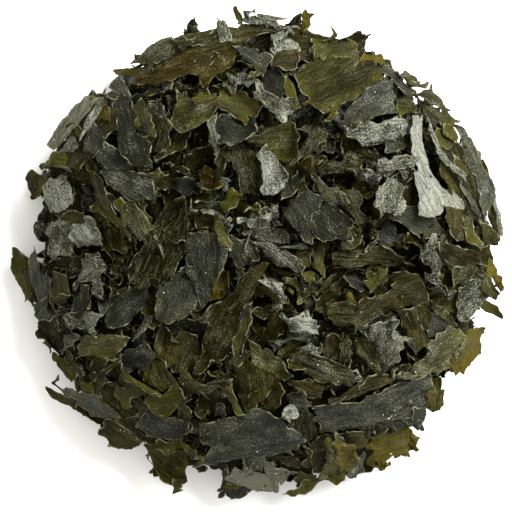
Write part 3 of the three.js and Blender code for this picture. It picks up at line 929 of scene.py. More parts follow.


# The drawn flakes: kind, temper, tone, salt and path, the lowest first in each stretch of the heap. Tone is
# partly a flake's own lightness, partly painted light and shade: lighter where it faces the lamp, darker in
# shadow.
DRAWN_FLAKES: tuple[tuple[Kind, Temper, float, float, str], ...] = (
    # Foot
    (OLIVE, FLAT, -0.3, 0.1, "-34,-27 -28,-33 -22.5,-38.5 -17,-41 -15,-35 -22,-28 -29,-24"),
    (BROWN, FLAT, -0.4, 0.1, "10.5,-36 17,-35 24,-35.5 24.4,-40 22,-43.8 17,-44 11,-43.6"),
    (BROWN, FLAT, -0.4, 0.1, "33,-14 39.4,-14.4 41,-17 40.5,-22 37,-23.8 33,-20"),
    (OLIVE, FLAT, -0.4, 0.1, "41,3 46,1.4 46.8,-2 46.4,-5.4 41,-7"),
    (OLIVE, FLAT, -0.4, 0.1, "35.5,25.6 40.5,20.5 44.6,14 46.2,8 41,5 36,18"),
    (BROWN, FLAT, -0.4, 0.1, "-41,19 -37,25 -33,30 -29,29 -30,21 -36,16.5"),
    (OLIVE, FLAT, -0.3, 0.1, "-22,37 -20,41.6 -10,44 -4,44.6 -5,39 -15,36"),
    (BROWN, FLAT, -0.4, 0.1, "2,39 3,44.6 10,43.6 17,41.6 23,37.6 18,34"),
    # South-west
    (AMBER, FLAT, -0.5, 0.1, "-43.5,-18 -42.4,-17 -41.3,-18.4 -41.3,-20.2"),
    (OLIVE, EDGED, -0.1, 0.1, "-42.2,-19.7 -40.8,-20.4 -35.6,-25.4 -35.8,-26.3 -37,-26.8 -40.1,-22.7"),
    (BROWN, FLAT, -0.4, 0.1, "-38.4,-19.8 -35.3,-17.4 -35.1,-19.6 -35.6,-21.6 -37.6,-21.4"),
    (RIBS, CRUMPLED, 0.0, 0.3,
     "-40.8,-19.3 -39.2,-18.4 -37.4,-20.6 -35,-21.5 -34.2,-22.7 -35,-24.7 -38.3,-22.5"),
    (SALTED, FLAT, 0.15, 0.4, "-39.4,-19.7 -38.3,-16.6 -35.4,-16.8 -38.8,-19.5"),
    (BROWN, RIBBED, -0.3, 0.1, "-33,-21 -29.4,-21 -32.6,-25.6 -33.4,-25"),
    (BROWN, FLAT, -0.2, 0.1, "-18.5,-20 -15.6,-16 -12,-16 -11.6,-20 -13,-24.4 -17.4,-24"),
    (BROWN, FLAT, -0.05, 0.1, "-20.6,-18.6 -19.4,-15 -17,-14.6 -15.4,-16 -16,-19.6 -17.4,-22.8 -20.6,-21"),
    (OLIVE, FLAT, -0.1, 0.2, "-22,-21.2 -19.4,-20.6 -17,-24 -16,-26.6 -19,-27.4 -22.4,-25"),
    (OLIVE, FLAT, 0.1, 0.2, "-33.8,-26 -29.5,-22.4 -27.2,-20.2 -26.7,-20.6 -30,-24.5 -31,-28 -32.2,-27.2"),
    (OLIVE, FLAT, 0.9, 0.1, "-35.4,-25.6 -32.6,-26 -32.6,-28.4 -35,-28.2"),
    (OLIVE, FLAT, 1.3, 0.4,
     "-35,-18.4 -34.2,-16.4 -31.5,-16 -25.6,-16.8 -28.2,-20 -28.6,-21.4 -35.4,-20.8"),
    (SLATE, FLAT, 0.05, 0.45, "-27,-21 -25.8,-18.8 -22,-18 -20.6,-20.4 -22.2,-23.6 -25,-23.4 -26.7,-22.4"),
    (SLATE, FLAT, -0.1, 0.3, "-24.4,-35 -22.6,-31.8 -18.6,-33 -15,-32 -13.6,-36 -16.4,-37.6 -22.6,-37"),
    (OLIVE, EDGED, 0.1, 0.2, "-23,-28.6 -19,-28 -17,-26 -13.6,-28.2 -18.6,-33.3 -22.8,-29.8"),
    (OLIVE, CUPPED, 0.6, 0.1,
     "-27.6,-23 -25,-23 -22.4,-25 -19,-27 -20.2,-28 -25.4,-28.3 -26.7,-30.2 -27.6,-25.6"),
    (AMBER, FLAT, -0.5, 0.1, "-37.8,-29.6 -35,-30 -31,-33 -31.3,-34.2 -33.8,-33.8 -37.2,-31.5"),
    (STRAPS, EDGED, 1.0, 0.5,
     "-43.5,-27 -40.6,-26.6 -38.6,-27.4 -35,-27.9 -30.8,-28.3 -25.4,-32.7 -27.2,-33.1 -30,-33.6 "
     "-35.6,-30.4 -40,-28.3"),
    (BROWN, RIBBED, 0.05, 0.2,
     "-32.4,-35 -30,-33.6 -28.3,-33.6 -22.7,-38.3 -28.1,-39.3 -30,-39 -30,-37.4 -32.4,-36.1"),
    (AMBER, FLAT, -0.5, 0.1,
     "-23.3,-38.4 -13.6,-39.6 -14.7,-43.8 -13.6,-45 -15,-46.5 -17,-48.1 -19.2,-45.8"),
    (OLIVE, WAVY, 0.2, 0.15, "-22.9,-38 -21.5,-36.7 -17,-37.4 -9.5,-38.1 -9.7,-39.5 -17,-39.5 -19.7,-40"),
    # South
    (RIBS, RIBBED, -0.3, 0.2, "-16.2,-29.6 -14.6,-29 -13.4,-31 -13.6,-34 -14.6,-36 -16,-33"),
    (BROWN, EDGED, 0.1, 0.1, "-11.8,-27.2 -9.5,-26.3 -5.2,-29.3 -9.5,-27.8"),
    (SALTED, FLAT, 0.0, 0.5, "-9,-30.8 -7.5,-29.3 -6.3,-32.4 -8.8,-32.6"),
    (OLIVE, FLAT, 0.3, 0.2, "-7.5,-26.8 -5.2,-25.2 -3.6,-30 -2.3,-31.7 -4.5,-32.7 -5,-29.7"),
    (RIBS, CURLED, 0.3, 0.3, "-16.5,-25.4 -14,-23.6 -10.2,-26 -5,-24.9 -7.9,-26.5 -12.9,-27.9 -15.2,-26.4"),
    (BROWN, FLAT, 0.2, 0.1, "1,-27.2 4.1,-25 5,-27 4.3,-29.7 2.7,-31.5 -0.6,-30.4"),
    (OLIVE, FLAT, -0.3, 0.1, "-5,-22.2 -3.4,-20.2 0.7,-22.4 4.1,-25.2 0.5,-29 -2.9,-31.7 -4.3,-28"),
    (SALTED, CRUMPLED, -0.1, 0.5, "7.3,-19.4 9.8,-18 12.8,-18.8 10.4,-20.4"),
    (BROWN, FLAT, -0.3, 0.1, "12.2,-17 14.6,-16 16.2,-17.4 15.6,-21 12.8,-21"),
    (RIBS, CURLED, 0.5, 0.4, "15.6,-21.6 15.4,-19 17.6,-16.6 18.7,-18.2 18.8,-20 17.3,-22.3"),
    (RIBS, RIBBED, 0.15, 0.4, "18.7,-17.6 20.4,-17 22.8,-18.4 24.6,-23.8 23,-24.2 19.4,-20.4"),
    (BROWN, FLAT, 0.1, 0.1, "4.8,-25.2 10,-24.6 12.6,-25.4 12.5,-28.6 10.7,-28.6"),
    (OLIVE, RIBBED, 0.25, 0.45, "-2.3,-17 0.2,-18.4 5,-21.5 7,-23.6 4.8,-25 0.7,-23 -1.7,-20.4"),
    (SALTED, CRUMPLED, -0.2, 0.55, "2,-15.6 9,-15.8 11,-16.6 9.8,-18 2.6,-18.6 1,-17.4"),
    (RIBS, RIBBED, 0.2, 0.5, "6,-21.3 6.6,-20.2 12.3,-20.4 17,-22.4 19.4,-25.2 17,-26 12.3,-25.8 8.2,-23"),
    (OLIVE, CRUMPLED, 0.0, 0.2, "-8.6,-45.8 -5.7,-46 -3.4,-47 -5,-48.8 -8,-48"),
    (SALTED, CRUMPLED, 0.1, 0.5, "-4.4,-40 1.8,-39.4 2.7,-41.3 0.7,-44 -3.8,-43.6"),
    (SLATE, FLAT, 1.4, 1.4, "-7.9,-45.6 -5.7,-43 -3.4,-43.3 1.8,-44 5,-46.7 4.5,-48 -1,-48 -5.7,-46.5"),
    (BROWN, EDGED, -0.1, 0.1, "3,-41 5,-39.4 10,-43.2 5.7,-43"),
    (SLATE, FOLDED, 0.9, 0.9, "1.3,-42.4 2.5,-41.3 5.7,-42.6 8,-43 4.8,-45 3,-45"),
    (BROWN, RIBBED, 0.0, 0.1, "8,-37.6 10.2,-37 11,-38.8 10.4,-43 8.6,-42.4"),
    (BROWN, FLAT, 0.1, 0.1, "7,-45.6 7.7,-43.6 11.4,-44 9,-46.4"),
    (OLIVE, WAVY, 0.3, 0.2, "5,-48 9,-45.8 12,-44.9 13.6,-44.9 10.7,-47.2 6,-48.4"),
    (AMBER, WAVY, 0.4, 0.1, "13.6,-44.4 17,-44 17,-45.4 15.7,-46.1"),
    (SLATE, FLAT, 0.0, 0.2, "13.4,-44 15,-42.6 18.2,-43.6 16,-44.9"),
    (OLIVE, WAVY, 1.3, 0.5, "10.4,-39.7 12.5,-37 17,-36.6 20,-39.5 18.3,-42.2 15.4,-42.4 10.7,-44.7"),
    (SLATE, CUPPED, -0.1, 0.2, "4.3,-30 5,-27.3 7.2,-26.6 11,-29 9,-31.6 6,-31.6"),
    (RIBS, FLAT, 0.2, 0.4, "8.2,-30.8 10.2,-29.7 10.5,-33 11.8,-36.5 10.4,-37.2 5.7,-35 7.5,-34"),
    (SLATE, FLAT, 0.15, 0.35,
     "-12,-33.8 -7,-32.7 -2.9,-31.7 -0.2,-30.6 3.4,-32 6,-34.4 9.5,-37.2 5,-39.5 -1,-40 -7.5,-41.4 "
     "-13.6,-43 -10.4,-40 -9.5,-38.5 -11.6,-37.5"),
    (SALTED, CRUMPLED, 0.3, 0.9, "3.4,-31 6.6,-29.7 8.4,-33 7.5,-34.2 5.7,-35 3.3,-32.7"),
    # South-east
    (AMBER, FLAT, 0.0, 0.1, "34,-25 36.3,-25 36.6,-28.8 35.6,-29.7 34,-28.4"),
    (AMBER, FLAT, -0.1, 0.1, "32.4,-30.4 36,-30.2 36.5,-31.5 35,-32"),
    (OLIVE, FLAT, -0.2, 0.1, "39.7,-12.5 41.5,-13.8 41.5,-16 39.7,-15.8"),
    (SLATE, FLAT, 0.0, 0.2, "33.4,-11.8 35,-12 38.8,-15 35,-16.6 33.3,-17"),
    (AMBER, FLAT, 0.8, 0.1,
     "40.4,-16 43.5,-15.2 45.6,-14.9 43.9,-17.4 44.2,-20.2 42.2,-22.2 41,-24.5 40,-23.8 39.2,-24.8 "
     "38,-21.6"),
    (SLATE, FLAT, 0.0, 0.4, "28.8,-17.4 31,-16.6 33,-17.2 31.4,-20.4"),
    (OLIVE, WAVY, 1.7, 0.6,
     "28.3,-24 31.5,-21 32.2,-18.8 34,-17.5 38.5,-15.4 40.8,-16 40.6,-21 38,-21.5 36,-24.3 30.6,-24.7"),
    (BROWN, CURLED, -0.4, 0.1, "30.4,-11 33,-10.4 33.8,-12 33.5,-14.3 33,-15.2 31.5,-14"),
    (BROWN, FLAT, -0.1, 0.1, "27,-11.6 30.6,-10.6 31.5,-13.2 33.6,-18 31.6,-19 30,-17.4"),
    (SLATE, CRUMPLED, 0.1, 0.7,
     "20.5,-15.5 26,-12.9 27.4,-13.3 28.6,-15.5 29,-17.5 28.4,-20.4 26,-23.6 24.6,-23.8 23,-19"),
    (BROWN, RIBBED, 0.2, 0.15,
     "13.2,-28.6 14.8,-27.2 20,-25.2 24.5,-24 27.3,-25 23.3,-26.8 18.3,-28.9 14.2,-29.4"),
    (AMBER, WAVY, 0.5, 0.3,
     "22.7,-36.5 25,-34.4 29.7,-34.4 32.6,-37 32.3,-38.8 31.7,-40 29,-40.4 26,-41 26,-42.2 23.6,-44 "
     "21.7,-44.2 21.5,-38.6"),
    (STRAPS, CRUMPLED, -0.3, 0.2, "21.2,-38 21.5,-35.4 25,-32.4 28.3,-32.4 32.4,-31 33,-34.7 25,-35"),
    (SALTED, RIBBED, 0.1, 0.4, "17,-44.2 20.6,-39.7 21,-44"),
    (OLIVE, RIBBED, 0.1, 0.3, "17,-35.6 20.4,-35 22,-36.7 21.3,-38.6 17,-38.8"),
    (STRAPS, RIBBED, -0.05, 0.35,
     "10.6,-30.6 14.5,-29.7 19.3,-29.3 22.2,-27 27.4,-25.4 35,-24.8 35,-28.8 32,-30.6 30,-32.4 24.7,-33 "
     "21.5,-35 12.3,-36.7 10.7,-33"),
    # East
    (BROWN, FLAT, -0.4, 0.1, "34.5,2.5 38.5,1.5 43.5,1 43.5,-1.5 41.5,-3.4 38,-3.4 36,-0.5"),
    (AMBER, WAVY, 0.3, 0.1,
     "45,1 46.2,0.7 47.6,-1.4 47.8,-2.7 47.2,-4 48.4,-6.8 48.5,-8.4 47,-9.9 46,-9 47,-7.5 45.3,-3.4"),
    (OLIVE, FLAT, 0.1, 0.1, "44,-9 46.2,-10 49.3,-12.5 48.7,-13.2 47.4,-12.7 44,-10.7"),
    (OLIVE, EDGED, 0.1, 0.25, "34,-9 35,-10 39.7,-13.8 39.2,-15 35,-11.6"),
    (RIBS, CRUMPLED, 0.0, 0.4, "38,-3 41,-3.4 44,-1.4 45,-3.4 45,-6.4 41.5,-6.4 39.7,-7.6 38.5,-7"),
    (SALTED, RIBBED, -0.5, 0.35,
     "40,-7.3 41.5,-5.7 43.7,-4.8 47.1,-7.4 44.2,-10.4 41.5,-13.8 39.7,-13.2 39,-11"),
    (BROWN, FLAT, 0.1, 0.2, "36.6,9 39.7,8.2 40.5,6.5 39.8,4.3 40,2.3 38.7,2 37.5,3.4"),
    (OLIVE, FLAT, 0.15, 0.3, "40,7.5 42,7 42.8,4.7 45,0.7 43,0.8 41,2"),
    (SALTED, FLAT, 1.0, 0.9, "46.2,15.6 48,10 49,6.5 49.6,2 48.6,2.2 47.2,10.6"),
    (BROWN, FLAT, -0.2, 0.1, "46.4,13 47.6,9 48.6,2 46.8,2.4 46.2,9"),
    (AMBER, FLAT, 0.0, 0.1, "43.6,18.6 45,19 46.8,14 45.2,14.6"),
    (STRAPS, RIBBED, 0.1, 0.4,
     "39,25.2 39.4,26.4 41,22.4 43.5,19.3 44,16.6 45.6,15 46.7,13.8 46.7,8.5 45.7,7.6 45.2,5 44,9.2 "
     "42,15.3 40.8,18"),
    (BROWN, FLAT, 0.2, 0.2, "37.6,21 39.5,18.8 41.7,16 41.3,15.2 39,17.2"),
    (STRAPS, FLAT, 0.2, 0.4, "39,15 41.6,12.6 44.6,5 42,8.8"),
    (BROWN, FLAT, -0.35, 0.1, "28,15.6 31,16.6 32.4,12.5 32.6,8 29,8.6"),
    (SLATE, FLAT, 0.15, 0.15, "25.5,7 29,9.3 31.6,9.6 33.4,8.4 36.8,4 31,2.6 30,4.2"),
    (SALTED, CRUMPLED, -0.2, 0.5, "20.6,15.5 21.4,17.2 24.2,16 22.8,14 20.8,12.6"),
    (SALTED, FLAT, 0.1, 0.6, "24.3,17.2 26.8,19 31.7,18.8 30.4,16.6 25,16.2"),
    (SLATE, FLAT, 0.1, 0.3, "22.7,3.9 24.5,6 26.5,5.6 26.7,3.6 29.7,3.4 27.9,2 24.2,0.8"),
    (SALTED, CUPPED, 0.15, 0.55,
     "25,15.4 26.8,16 28.4,14.2 29,12 27.8,10.6 29,9 26.2,7.5 24,6.5 22,9.3 23.4,12"),
    (OLIVE, FLAT, 0.05, 0.2, "16.5,4.5 19,5.2 20.3,3.6 19.8,1.8 18.2,0.2 16,0.4"),
    (RIBS, RIBBED, -0.05, 0.1, "16.6,12.4 19.4,12 20.4,10 19.8,8 22.5,6 19.6,5.6 16.6,9"),
    (OLIVE, FLAT, 0.0, 0.2, "20.6,-5.5 21.5,-3 22.7,-2.4 25.4,-3 25.4,-5 21.5,-8.2 21.8,-6.8"),
    (SLATE, FLAT, 0.1, 0.3, "16.5,-4.6 19,-4.4 20.2,-5.7 20.8,-7.3 19.9,-7.7 17,-6"),
    (AMBER, WAVY, 0.3, 0.2, "17,-8.4 19,-8.6 20,-10 17,-9.5"),
    (RIBS, RIBBED, 0.0, 0.2, "13.4,-10.2 16.8,-9.6 20,-10.6 20.3,-12.2 18,-14 15.6,-14.6 13.8,-13"),
    (RIBS, RIBBED, 0.1, 0.2,
     "14.5,-0.5 17,0.7 24.7,1.3 27.6,0.7 31,-1 31,-3.4 28.3,-3.2 24.5,-2.5 18,-3.2 15,-2.4"),
    (AMBER, WAVY, 0.1, 0.3, "25.7,2.6 27.2,2.8 28.6,1.8 30,1.4 29.6,0.6 27.6,1 26.4,0.6"),
    (SALTED, CRUMPLED, -0.5, 0.3,
     "30.6,2.3 33,2 35,2.3 35.8,0.7 37.6,-0.5 36.3,-4.8 38.8,-7.5 39.4,-9 36.3,-9 34,-6.4 32.6,-2.7 "
     "31.7,-1.6"),
    (BROWN, FLAT, 0.1, 0.15,
     "26.2,-4.5 27,-3.5 29.2,-3.2 31.5,-3.6 33.3,-6.4 33.8,-8 33.6,-10 30.6,-10.2 27.2,-11.4 23.8,-12.7 "
     "20,-15 18,-16.3 17,-15 20.2,-12.3 20,-9.8 20.8,-9 27,-7"),
    # North-east
    (OLIVE, WAVY, 0.0, 0.2, "29.5,35.3 31.2,35 32.8,33.6 31.2,32.4"),
    (OLIVE, FLAT, 0.0, 0.2, "36.5,29.6 40,26.3 38,24.8 36.5,24.6 36,26.6"),
    (OLIVE, FLAT, 0.1, 0.2, "35,25 36.5,24.6 39,21 37,21 35,22.5"),
    (RIBS, RIBBED, 0.1, 0.3, "32.6,29 36,28.8 37,26.6 35,25 33.4,26"),
    (RIBS, RIBBED, 0.2, 0.3, "30.8,32.4 34.5,33.4 34.8,31.3 38.6,27.6 36,28 31.4,30.6"),
    (SALTED, FLAT, 0.5, 0.5, "32.3,28.8 35,21.7 38,16.5 41.3,12.8 41,11.7 37.7,15.5 34.3,21.3"),
    (STRAPS, FLAT, 0.2, 0.3, "23,38.2 25.6,37.3 29.2,33.6 30.7,31 29.8,30.8 26.8,34.2 23.5,36.2"),
    (AMBER, WAVY, 0.1, 0.1, "20,39.6 23,39.2 25.4,37.8 23,37.6 20,38.2"),
    (SLATE, FLAT, 0.05, 0.35, "16.2,24.3 17.3,28 20.2,31.7 23,34 27.6,35 26,31.5 27,27.2 21.5,26"),
    (OLIVE, CUPPED, 0.2, 0.1, "26,30 29,31 32.5,29 30,27.6 28,26.5 27.3,28.3"),
    (STRAPS, RIBBED, 0.0, 0.3, "25,21.8 29.2,23.7 30,22 27,19.8 25,20"),
    (SALTED, RIBBED, -0.15, 0.55,
     "17,24.2 17.2,22.7 19.6,22.4 20,21 25,21.6 29.2,23.6 30,25 29.5,26.3 27.4,26.8 21.5,25.8"),
    (SALTED, FLAT, 0.8, 1.15,
     "30,27.6 30.5,22.4 32,17.2 31.2,16.5 32.2,11.8 32.2,8.7 34.4,7.7 36.3,9.3 36.3,10.6 37.2,9 "
     "40.4,7.5 40.7,8.7 38.3,13 37.2,13 35,16.7 33,21.5 31.9,27.7"),
    # North-west
    (BROWN, FLAT, -0.3, 0.1, "-21,28 -18,26.5 -17,20 -20.5,20 -21.5,25"),
    (AMBER, FLAT, -0.6, 0.1, "-33,26 -31,30 -29.6,29 -29.2,26"),
    (SLATE, FLAT, -0.3, 0.2, "-35,20.5 -34.5,23 -33.5,25.5 -31.6,25 -30,21.5 -32,19.6"),
    (SLATE, FLAT, -0.1, 0.3, "-30.5,22 -25,17.6 -24.5,14.5 -30,17 -32,19"),
    (OLIVE, CRUMPLED, 0.0, 0.2, "-43.5,18 -41.5,20 -38,20 -36.6,18 -38,16 -42.5,16.6"),
    (OLIVE, CRUMPLED, 0.1, 0.2, "-32,32 -30,32.5 -27,31 -28.5,30 -31,30.5"),
    (SLATE, FLAT, 0.2, 0.3, "-30,33 -28,35.5 -26.5,33.5 -25.5,31 -28.5,31.6"),
    (SALTED, FLAT, 0.6, 0.5, "-40,19.5 -37,19.5 -35.5,22 -37,22.8 -38.5,21.6"),
    (SALTED, FLAT, 0.6, 0.5, "-35.5,21.5 -33.5,25 -31,30 -32,29.8 -34.8,25.5"),
    (RIBS, RIBBED, 1.8, 1.1,
     "-42.5,21.5 -41,20.5 -38.5,22 -36.5,24.5 -34,27.5 -31.5,30.5 -33.5,31 -35,31 -38.5,27.5 -40.5,24.5"),
    (STRAPS, RIBBED, -1.0, 0.15,
     "-29,29.5 -29,26 -27.5,20 -25,17.5 -21,17 -21,21 -24.5,24 -24,29.5 -25.5,31 -27.5,31"),
    (OLIVE, FLAT, 0.15, 0.1, "-24.4,29 -23,30.5 -21.5,27 -20.6,22.5 -24.5,25"),
    (SLATE, FLAT, 0.1, 0.3, "-20,34.4 -18.5,37 -17,35.5 -17,32 -19,31.5"),
    (RIBS, RIBBED, 0.4, 0.5, "-25,38 -24.5,39.5 -20,42.5 -17.5,43.5 -17,40 -22,37"),
    (AMBER, FLAT, -0.1, 0.1, "-29,36.5 -24,37 -24,35.2 -28,35.3"),
    (AMBER, RIBBED, -0.7, 0.15,
     "-25,34 -25,35.5 -20.5,37.5 -17,39 -13,41 -10,41.5 -5,42 -2.5,41.5 -5.5,40 -5.5,38 -10,34.5 -12,33 "
     "-13,35.5 -20,34"),
    # North
    (BROWN, FLAT, -0.1, 0.1, "-15,41 -12.5,43 -8,45 -7.4,44 -10.4,41.4"),
    (RIBS, FLAT, 0.0, 0.3, "-17,42.5 -14.5,43 -13,42 -15,40.4"),
    (SALTED, FLAT, 0.1, 0.5, "-7.5,47.5 -8,45 -8.5,43.5 -7.5,41.6 -5,41.6 -5.5,44 -6.5,46"),
    (RIBS, FLAT, 0.0, 0.3, "-5,43.5 -3.4,45.4 3,45.4 5,44.5 2,43.6 -1.5,43 -2.5,42.2 -5,42"),
    (SALTED, WAVY, 0.2, 0.5,
     "-5,49 -2.5,48 0,47.5 3,48.3 5.8,46.4 8.2,44.6 12.4,44.7 10,43.2 7.9,43.6 4,45.6 0.6,45.2 "
     "-4.8,46.8"),
    (AMBER, WAVY, -0.1, 0.1, "7,44.6 7.7,46.6 9.5,48.7 10.5,47 10,44.4"),
    (OLIVE, WAVY, 0.2, 0.2,
     "10,42.4 12.5,44 15,42.6 16.5,43 20,40.8 19.6,39 15.5,39.4 14,40.6 10.6,39 9.6,41"),
    (SALTED, CRUMPLED, 0.1, 0.6, "2.3,43 3.5,44.6 6.8,44.5 6.5,42.8 5,42"),
    (SALTED, CRUMPLED, 0.0, 0.6, "2,41.5 3,42.5 6,42.6 8.6,42 8,40.2 4,39.6"),
    (BROWN, CUPPED, 0.0, 0.1, "1.8,37 2.5,38.6 4.4,40.4 7.4,40.4 9.4,38.4 7.4,35.8 3,35.4"),
    (SLATE, FLAT, -0.5, 0.1, "-1,34.2 1,36.4 4.4,35.9 5,32.8 4.4,29.6 0,30.4"),
    (SLATE, RIBBED, 0.0, 0.2, "-5.2,41 -1,40.8 2.5,38.9 0.7,34.6 -1.2,36.6 -3.4,38.6"),
    (SLATE, FLAT, 0.3, 0.6, "-6,34.9 -3.4,35.7 -0.6,35.2 -1,33.4 -2.2,32.2 -4.4,33"),
    (SALTED, CRUMPLED, 0.5, 0.6, "-8.6,33.5 -4.4,33 -2.3,33.2 -4.4,31.6 -7.8,32"),
    (OLIVE, FLAT, 0.0, 0.1, "5.2,35.4 6.8,33 8,28.3 6.6,28 5,31.6"),
    (OLIVE, FLAT, 0.2, 0.1, "-7.8,31.8 -5,31.9 -2.7,31.8 -0.8,30.4 0.6,28.1 -0.3,26.8 -6,26.8 -8,27"),
    (SALTED, WAVY, -0.1, 0.4, "-2,32 -1,32.2 1.4,31 3.4,29.6 6.4,30 7.4,28.3 6.8,26.6 3.4,26.2 1,27.6"),
    (OLIVE, FLAT, -0.1, 0.35,
     "-16,31.7 -13,28.8 -10.7,30.4 -8,30.4 -7.6,28.1 -11.8,25 -16,23.6 -17.4,25 -16.2,29"),
    (OLIVE, FLAT, 0.3, 0.1, "-13.6,30.6 -11.6,31.9 -8.2,30.6 -11.6,29"),
    (SLATE, CUPPED, -0.4, 0.1, "-9,25.4 -8,27 -1,26.4 -0.6,24 -2,22 -7,20.6 -8.6,22.4"),
    (SALTED, FLAT, 0.15, 0.4, "-10.2,26 -8,27.6 -8.8,24.4 -6.8,21 -7.6,18.8 -10.1,21.7"),
    (RIBS, RIBBED, 0.05, 0.3, "-7,21 -4.3,21.9 -0.4,19.8 0.4,14 0,10.6 -3.5,11 -5.2,17"),
    (OLIVE, FLAT, 0.1, 0.3, "-3.4,21.5 -2,22.9 4.8,26.4 7,25.2 9,22.7 7.5,19 5,16.6 3.4,17 0.4,20.6"),
    (SALTED, FLAT, 0.3, 0.8, "0,10.8 3,11.3 5,13 6,16 5.6,17.2 4,17.3 1,21.3 -0.6,19.6"),
    (RIBS, FOLDED, 0.4, 0.4,
     "7.7,25 11.4,25 13.7,23 10.2,19.4 9.3,18.4 8.6,19.3 6.4,17.2 5.2,17.2 9.9,23.2"),
    (OLIVE, FLAT, -0.25, 0.1,
     "6.8,35.4 8.2,33 9.8,30 8.4,29.5 9.8,28.2 12.4,26.3 13.6,27 15.5,29.7 19,30.6 22.5,34.3 24.3,35.1 "
     "23,38.1 17,38.5 14.5,39.3 12.3,40.1 10.2,38.3"),
    # West
    (AMBER, FLAT, -0.4, 0.1, "-47,15.3 -45.6,16.5 -43.9,15.5 -41.7,14.6 -43.2,11.2 -44.7,10.6 -46,14.2"),
    (AMBER, FLAT, -0.7, 0.1, "-31,0 -30.6,6.8 -26.4,3.6 -26,0.2"),
    (OLIVE, FLAT, 0.2, 0.2,
     "-50,-2.3 -49.7,-0.4 -48.5,0.7 -46.2,-0.8 -45.8,-4.6 -45,-10 -46.3,-10 -49.6,-3.4"),
    (OLIVE, FLAT, 0.1, 0.2, "-39,7.4 -36.4,8.7 -34.8,7.5 -35,5.8 -37,4.8 -38.7,6.4"),
    (SALTED, FLAT, 0.3, 0.8, "-41,15 -37.8,15.2 -36,10 -39.4,7.7 -43,10 -42.3,13.2"),
    (SALTED, CRUMPLED, 0.6, 0.9, "-37.2,4.8 -34.8,7 -33.3,7.8 -30.5,3 -31.3,1.3 -35,1.6 -37,2.2"),
    (BROWN, EDGED, 0.0, 0.1,
     "-35,17 -33,11 -32,9 -26.6,4.4 -25.4,2.8 -25.6,4.6 -28.3,9.2 -31.6,16.6 -33.3,18.2"),
    (OLIVE, FLAT, 0.4, 0.1, "-28.4,10 -27,10.7 -25.3,8.2 -25.1,5.6 -26.3,4.8 -28.2,8.4"),
    (RIBS, RIBBED, 0.4, 0.3, "-25.8,10 -24.6,10 -20.6,4.7 -23.2,2.2 -25.2,5.3"),
    (SLATE, FLAT, 0.1, 0.45, "-31.6,15.6 -30,17.4 -27,17.8 -21.2,14.3 -20.3,10.7 -25,9.8 -30,13.4"),
    (STRAPS, EDGED, 0.15, 0.3, "-45,1.6 -43.7,-3.4 -41.3,-8 -40,-12 -43,-14.5 -44,-14.8 -46.5,-3.5"),
    (BROWN, CUPPED, 0.1, 0.2, "-42.6,-4.5 -41.2,-2.5 -39,-3.4 -37.6,-8 -37.6,-10 -39.7,-11.3 -42,-7.5"),
    (SALTED, CRUMPLED, 0.05, 0.5, "-39.7,6.4 -36.4,2.6 -36,0.2 -39.7,-0.5 -41,-2 -42.7,-1 -41,2.3 -41,5"),
    (SLATE, FLAT, -0.1, 0.3, "-39.7,-14 -35.4,-8.4 -35,-6.4 -33.4,-6.8 -33.6,-12 -38.3,-14.6"),
    (BROWN, CRUMPLED, -0.15, 0.1, "-30.2,-2.4 -26.4,-2.8 -25.6,-5 -29.4,-10 -31.4,-6"),
    (SLATE, FLAT, -0.2, 0.1, "-27,-7 -30,-13.2 -29.2,-15.2 -27,-15.2 -20.8,-8.4"),
    (SALTED, FLAT, 0.2, 0.5, "-25.6,-17 -21.6,-12.5 -20.8,-12.4 -24,-17.4"),
    (SALTED, CRUMPLED, -0.05, 0.6, "-39.8,-14 -36.5,-12.1 -31.3,-12.1 -30,-14.2 -30.2,-16.2 -37.4,-15.7"),
    (SALTED, CRUMPLED, -0.05, 0.5,
     "-38.5,-3.4 -34.4,-1 -29.2,-0.4 -28.5,-1.9 -31,-5.7 -32.5,-11.2 -33,-7 -35.4,-6 -38.3,-7.5"),
    # Crown
    (SLATE, FLAT, -0.4, 0.1, "-17.4,13 -16,14.7 -13.6,14.7 -11.2,11.8 -13.4,10.6"),
    (AMBER, CRUMPLED, -0.95, 0.3, "-12.9,14.4 -9.5,16.4 -8.1,15.4 -6.8,12.7 -9,11.8"),
    (BROWN, RIBBED, -0.15, 0.1, "-14,8.8 -12.4,8.2 -11,8.7 -7,5.4 -8.6,4.2 -12.4,5.2"),
    (OLIVE, FLAT, 0.3, 0.1, "-7.9,8.2 -5.9,12.4 -4.3,12.3 -3.4,11 -6,7.6"),
    (SALTED, WAVY, 0.45, 0.7, "-14,11.2 -13.5,8.8 -11,9 -8,7 -4.4,6.4 -5.2,5.2 -7.2,5 -11,8 -14.2,8.4"),
    (SLATE, FLAT, -0.35, 0.1, "-5.6,3.6 -4,2.6 -1.2,2.6 0.4,-1.5 -4.3,-3 -5.8,-0.7"),
    (SLATE, FLAT, -0.05, 0.2,
     "-20.4,-8 -17.5,-4.4 -15.6,-3.1 -13.6,-3.2 -12.2,-8.5 -11.3,-10.4 -15.2,-12.8 -18,-13.8 "
     "-20.6,-12.2"),
    (AMBER, FLAT, -0.35, 0.1, "-7.8,-3 -4.8,-4 -6.6,-9 -9.6,-9.7 -8.6,-5.3"),
    (RIBS, RIBBED, -0.55, 0.15,
     "-26.4,-4.6 -24,-1.2 -21.5,3.4 -19.5,6.8 -17,12 -15.9,12.8 -15,12 -15,9 -14.3,1 -16.6,-4.6 "
     "-20.2,-8 -26.1,-7.5"),
    (SLATE, FLAT, -0.1, 0.3,
     "-14.8,2.5 -14,4.1 -11.8,4.3 -8,2.5 -6.3,0.7 -7.3,-3.5 -9.2,-7 -11.2,-11.2 -12.7,-7 -14.4,-3.6"),
    (BROWN, FLAT, 0.0, 0.1, "7.2,-1.2 7.6,0.4 10.4,0.8 10.4,-1.8 9,-2.8"),
    (OLIVE, FLAT, 0.15, 0.2, "10.3,-2.3 10.7,1.4 12.7,2.2 13.8,1.2 12.9,-4.8"),
